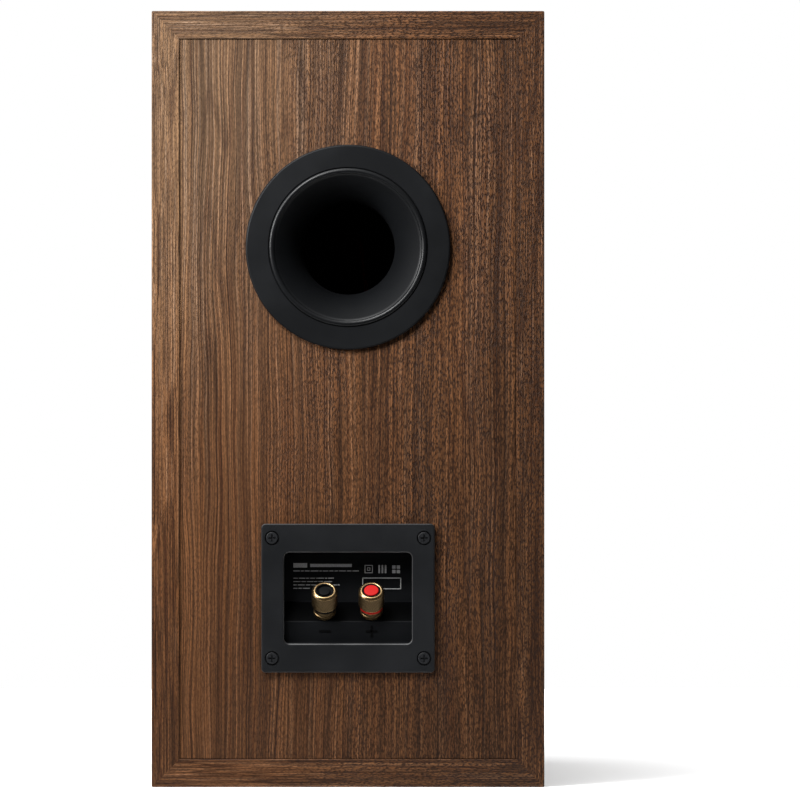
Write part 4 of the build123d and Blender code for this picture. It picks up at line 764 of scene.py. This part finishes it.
def domed(name, place, node, front, thick):
    """A closed dome in a CAD node's place: two concentric spheres whose radius is (r x r + rise x rise) over
    twice the rise, for the box's half width r and its height."""
    low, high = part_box(node)
    foot, top, r = (front - high.y) / MM, (front - low.y) / MM, (high.x - low.x) / 2 / MM
    sphere = (r * r + (top - foot) ** 2) / (2 * (top - foot))
    inner, level = sphere - thick, top - sphere
    over = np.arcsin(r / sphere) * np.linspace(1, 0, 49)
    under = np.arccos((foot - level) / inner) * np.linspace(0, 1, 33)
    arcs = ((sphere, over), (inner, under))
    outline = [np.stack([reach * np.sin(angle), level + reach * np.cos(angle)], 1) for reach, angle in arcs]
    return turned(name, place, np.concatenate(outline), 160)


class SPEAKER_OT_woofer(bpy.types.Operator):
    """Make the woofer: cone, dust cap, surround, spider and motor"""

    bl_idname = "speaker.woofer"
    bl_label = "Woofer"

    def execute(self, context):
        s = context.scene.speaker_drivers
        centre = middle("woofer_cone")
        front = face_y("front_baffle", False)
        place = Place((centre.x, front, centre.z), (0, -1, 0), (-1, 0, 0))
        dusty = tuple(c * 1.5 for c in s.rubber)
        rubber = speckled("rubber", tuple(s.rubber), dusty, 0.8, 0.62, 0.0, 0.02).material
        surround = turned("woofer_roll", place, half_roll(59.2, 67.4, -2.2, 5.4, 0.6, 54.8, 71.2), 200)
        surround.data.materials.append(rubber)
        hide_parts("woofer_surround")
        radial_follow(surround)
        cloth = woven("spider_cloth", (0.45, 0.28, 0.1), 0.7).material
        spider = turned("woofer_centring_disc", place, wavy_disc(16.05, 51.5, -35.0, 6, 1.2, 0.5, 2.5), 128)
        spider.data.materials.append(cloth)
        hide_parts("woofer_spider")
        radial_follow(spider)
        cone_metal = spun("cone_metal", tuple(s.cone), 0.36, centre, 0.35).material
        dress(cone_metal, "woofer_cone")
        cap = domed("woofer_centre_dome", place, "woofer_dust_cap", front, 0.6)
        finish_piece(cap, "woofer_moving", cone_metal, "cone_aluminium", "woofer_dust_cap")
        dress(moulded("trim_plastic", tuple(s.trim), 0.36).material, "woofer_trim_ring")
        coat = speckled("powder_coat", (0.015, 0.015, 0.016), (0.03, 0.03, 0.032), 0.5, 0.5)
        dress(coat.material, "woofer_basket")
        dress(wound("coil_copper", (0.7, 0.35, 0.16), centre, 0.5, "Y").material, "woofer_voice_coil")
        return {"FINISHED"}


class SPEAKER_OT_tweeter(bpy.types.Operator):
    """Make the tweeter: dome, surround, waveguide and motor"""

    bl_idname = "speaker.tweeter"
    bl_label = "Tweeter"

    def execute(self, context):
        s = context.scene.speaker_drivers
        centre = middle("tweeter_dome")
        front = face_y("front_baffle", False)
        place = Place((centre.x, front, centre.z), (0, -1, 0), (-1, 0, 0))
        cloth = speckled("tweeter_cloth", (0.01, 0.01, 0.011), (0.02, 0.02, 0.021), 0.3, 0.7, 0.0, 0.01)
        roll = turned("tweeter_roll", place, half_roll(13.2, 15.1, -13.9, 1.0, 0.2, 12.85, 15.5), 128)
        roll.data.materials.append(cloth.material)
        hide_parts("tweeter_surround")
        radial_follow(roll)
        dome_metal = spun("dome_metal", tuple(s.cone), 0.24, centre, 0.2).material
        dome = domed("tweeter_metal_dome", place, "tweeter_dome", front, 0.4)
        finish_piece(dome, "tweeter_moving", dome_metal, "cone_aluminium", "tweeter_dome")
        waveguide = moulded("waveguide_plastic", tuple(s.trim), 0.36)
        dress(waveguide.material, "tweeter_faceplate", "tweeter_trim_ring")
        dress(moulded("cup_plastic", (0.012, 0.012, 0.012), 0.5).material, "tweeter_rear_cup")
        coil = wound("small_coil", (0.7, 0.35, 0.16), centre, 0.3, "Y")
        dress(coil.material, "tweeter_voice_coil")
        return {"FINISHED"}


class SPEAKER_OT_inside(bpy.types.Operator):
    """Dress what is inside: brace, foam, motors, crossover and leads"""

    bl_idname = "speaker.inside"
    bl_label = "Inside"

    def execute(self, context):
        board = speckled("bare_fibreboard", (0.36, 0.22, 0.11), (0.26, 0.15, 0.07), 0.7, 0.85, 0.0, 0.1)
        dress(board.material, "window_brace", "back_battens")
        dress(foam("lining_foam", (0.05, 0.05, 0.055)).material, "foam_lining")
        zinc = metal("zinc_plate", (0.5, 0.5, 0.47), 0.34, 0.6).material
        dress(zinc, "woofer_top_plate", "woofer_pole_yoke", "tweeter_top_plate", "tweeter_pole_yoke")
        ferrite = speckled("ferrite", (0.022, 0.022, 0.024), (0.045, 0.045, 0.048), 0.5, 0.6, 0.2)
        dress(ferrite.material, "woofer_magnet", "tweeter_magnet")
        laminate = Finish("board_laminate", (0.01, 0.09, 0.04), 0.3)
        tracks = laminate.cells((7, 9, 9), "DISTANCE_TO_EDGE")
        gaps = laminate.ramp(tracks, 0.05, 0.09)
        laminate.colour(laminate.mix(gaps, (0.02, 0.16, 0.07), (0.008, 0.07, 0.03)))
        dress(laminate.material, "crossover_board")
        wire = wound("coil_wire", (0.62, 0.28, 0.12), middle("crossover_coils"), 1.1)
        dress(wire.material, "crossover_coils")
        film = speckled("capacitor_film", (0.6, 0.42, 0.05), (0.5, 0.33, 0.03), 3.0, 0.35)
        dress(film.material, "crossover_capacitors")
        cement = speckled("resistor_cement", (0.6, 0.58, 0.52), (0.45, 0.43, 0.38), 0.6, 0.85)
        dress(cement.material, "crossover_resistors")
        nylon = speckled("nylon", (0.7, 0.68, 0.62), (0.6, 0.58, 0.5), 1.0, 0.4)
        dress(nylon.material, "crossover_standoffs")
        for sign, tint in (("negative", (0.012, 0.012, 0.013)), ("positive", (0.4, 0.01, 0.01))):
            sheath = speckled(f"{sign}_sheath", tint, tuple(c * 0.7 for c in tint), 1.2, 0.45)
            dress(sheath.material, f"leads_{sign}")
        return {"FINISHED"}


class SPEAKER_OT_stage(bpy.types.Operator):
    """Make the pale floor, the soft lights and the level camera behind the cabinet"""

    bl_idname = "speaker.stage"
    bl_label = "Stage"

    def execute(self, context):
        s = context.scene.speaker_stage
        scene = context.scene
        scene.view_settings.view_transform = "Standard"
        rear = face_y("back_panel", True)

        floor_finish = Finish("floor_paper", (0.86, 0.86, 0.86), 0.9, Specular_IOR_Level=0.1)
        cloud = floor_finish.noise(400.0, 2.0)
        floor_finish.colour(floor_finish.mix(cloud, (0.85, 0.85, 0.85), (0.88, 0.88, 0.88)))
        mesh = bpy.data.meshes.new("floor")
        side, behind, before = 1.6, -1.3, 0.32
        corners = [(-side, behind, 0), (side, behind, 0), (side, before, 0), (-side, before, 0)]
        mesh.from_pydata(corners, [], [(0, 1, 2, 3)])
        mesh.materials.append(floor_finish.material)
        floor = bpy.data.objects.new("floor", mesh)
        scene.collection.objects.link(floor)

        world = bpy.data.worlds.new("studio")
        world.use_nodes = True
        scene.world = world
        tree = world.node_tree

        def node(kind, operation=None, *sockets):
            made = tree.nodes.new(kind)
            if operation:
                made.operation = operation
            for place, socket in enumerate(sockets):
                if isinstance(socket, bpy.types.NodeSocket):
                    tree.links.new(socket, made.inputs[place])
                else:
                    made.inputs[place].default_value = socket
            return made

        way = node("ShaderNodeSeparateXYZ", None, node("ShaderNodeTexCoord").outputs["Generated"])
        up = node("ShaderNodeMath", "MAXIMUM", way.outputs["Z"], 0.0).outputs[0]
        steep = node("ShaderNodeMath", "POWER", up, 4.0).outputs[0]
        sky = node("ShaderNodeMath", "MULTIPLY", steep, s.zenith)
        light = node("ShaderNodeMath", "ADD", sky.outputs[0], s.fill).outputs[0]
        seen = node("ShaderNodeLightPath").outputs["Is Camera Ray"]
        level = node("ShaderNodeMath", "MAXIMUM", light, seen).outputs[0]
        tree.links.new(level, tree.nodes["Background"].inputs["Strength"])
        tree.nodes["Background"].inputs["Color"].default_value = (1, 1, 1, 1)

        target = Vector((0.0, rear, 0.22))
        for name, kind, power, size, spread, place, aim in (
            ("key", "AREA", s.key, 0.30, 80, Vector((0.55, 0.50, 0.45)), target + Vector((0, 0, 0.08))),
            ("sheen", "AREA", s.sheen, 0.22, 80, Vector((0.22, 0.55, 0.65)), target + Vector((0, 0, 0.12))),
            ("front", "AREA", s.front, 1.2, 180, Vector((-1.1, -2.2, 1.3)), Vector((0.0, 0.0, 0.2))),
            ("overhead", "SUN", s.sun, np.radians(28.0), 0, Vector((0.22, 0.28, 1.0)), Vector()),
        ):
            lamp = bpy.data.lights.new(name, kind)
            lamp.energy = power
            if kind == "SUN":
                lamp.angle = size
            else:
                lamp.shape, lamp.size, lamp.spread = "DISK", size, np.radians(spread)
            light = bpy.data.objects.new(name, lamp)
            scene.collection.objects.link(light)
            light.location = place
            light.rotation_euler = (aim - place).to_track_quat("-Z", "Y").to_euler()
            light.visible_camera = False

        lens = bpy.data.cameras.new("camera")
        lens.lens = lens.sensor_width * s.distance / s.framed
        lens.clip_end = 200.0
        camera = bpy.data.objects.new("camera", lens)
        scene.collection.objects.link(camera)
        camera.location = (-s.aside, rear + s.distance, s.height)
        camera.rotation_euler = Vector((0, -1, 0)).to_track_quat("-Z", "Y").to_euler()
        scene.camera = camera
        return {"FINISHED"}


class SPEAKER_PT_panel(bpy.types.Panel):
    bl_idname = "SPEAKER_PT_panel"
    bl_label = "Loudspeaker"
    bl_space_type = "VIEW_3D"
    bl_region_type = "UI"
    bl_category = "Loudspeaker"

    def draw(self, context):
        for name, settings, operators in STEPS:
            box = self.layout.box()
            box.label(text=name)
            group = getattr(context.scene, settings, None)
            for field in getattr(group, "__annotations__", {}):
                box.prop(group, field)
            for operator in operators:
                box.operator(operator.bl_idname)


STEPS = (
    ("Cabinet", "speaker_cabinet", (SPEAKER_OT_cabinet,)),
    ("Port", "speaker_port", (SPEAKER_OT_port,)),
    ("Terminal tray", "speaker_tray", (SPEAKER_OT_tray,)),
    ("Binding posts", "speaker_posts", (SPEAKER_OT_posts,)),
    ("Drivers", "speaker_drivers", (SPEAKER_OT_woofer, SPEAKER_OT_tweeter)),
    ("Inside", "", (SPEAKER_OT_inside,)),
    ("Stage", "speaker_stage", (SPEAKER_OT_stage,)),
)
SETTINGS = {
    "speaker_cabinet": CabinetSettings, "speaker_port": PortSettings, "speaker_tray": TraySettings,
    "speaker_posts": PostSettings, "speaker_drivers": DriverSettings, "speaker_stage": StageSettings,
}
CLASSES = (*SETTINGS.values(), *(o for step in STEPS for o in step[2]), SPEAKER_PT_panel)


def register():
    for made in CLASSES:
        bpy.utils.register_class(made)
    for name, group in SETTINGS.items():
        setattr(bpy.types.Scene, name, PointerProperty(type=group))


def unregister():
    for name in SETTINGS:
        delattr(bpy.types.Scene, name)
    for made in reversed(CLASSES):
        bpy.utils.unregister_class(made)


def main():
    register()
    for _, _, operators in STEPS:
        for operator in operators:
            group, name = operator.bl_idname.split(".")
            getattr(getattr(bpy.ops, group), name)()


if __name__ == "__main__":
    main()
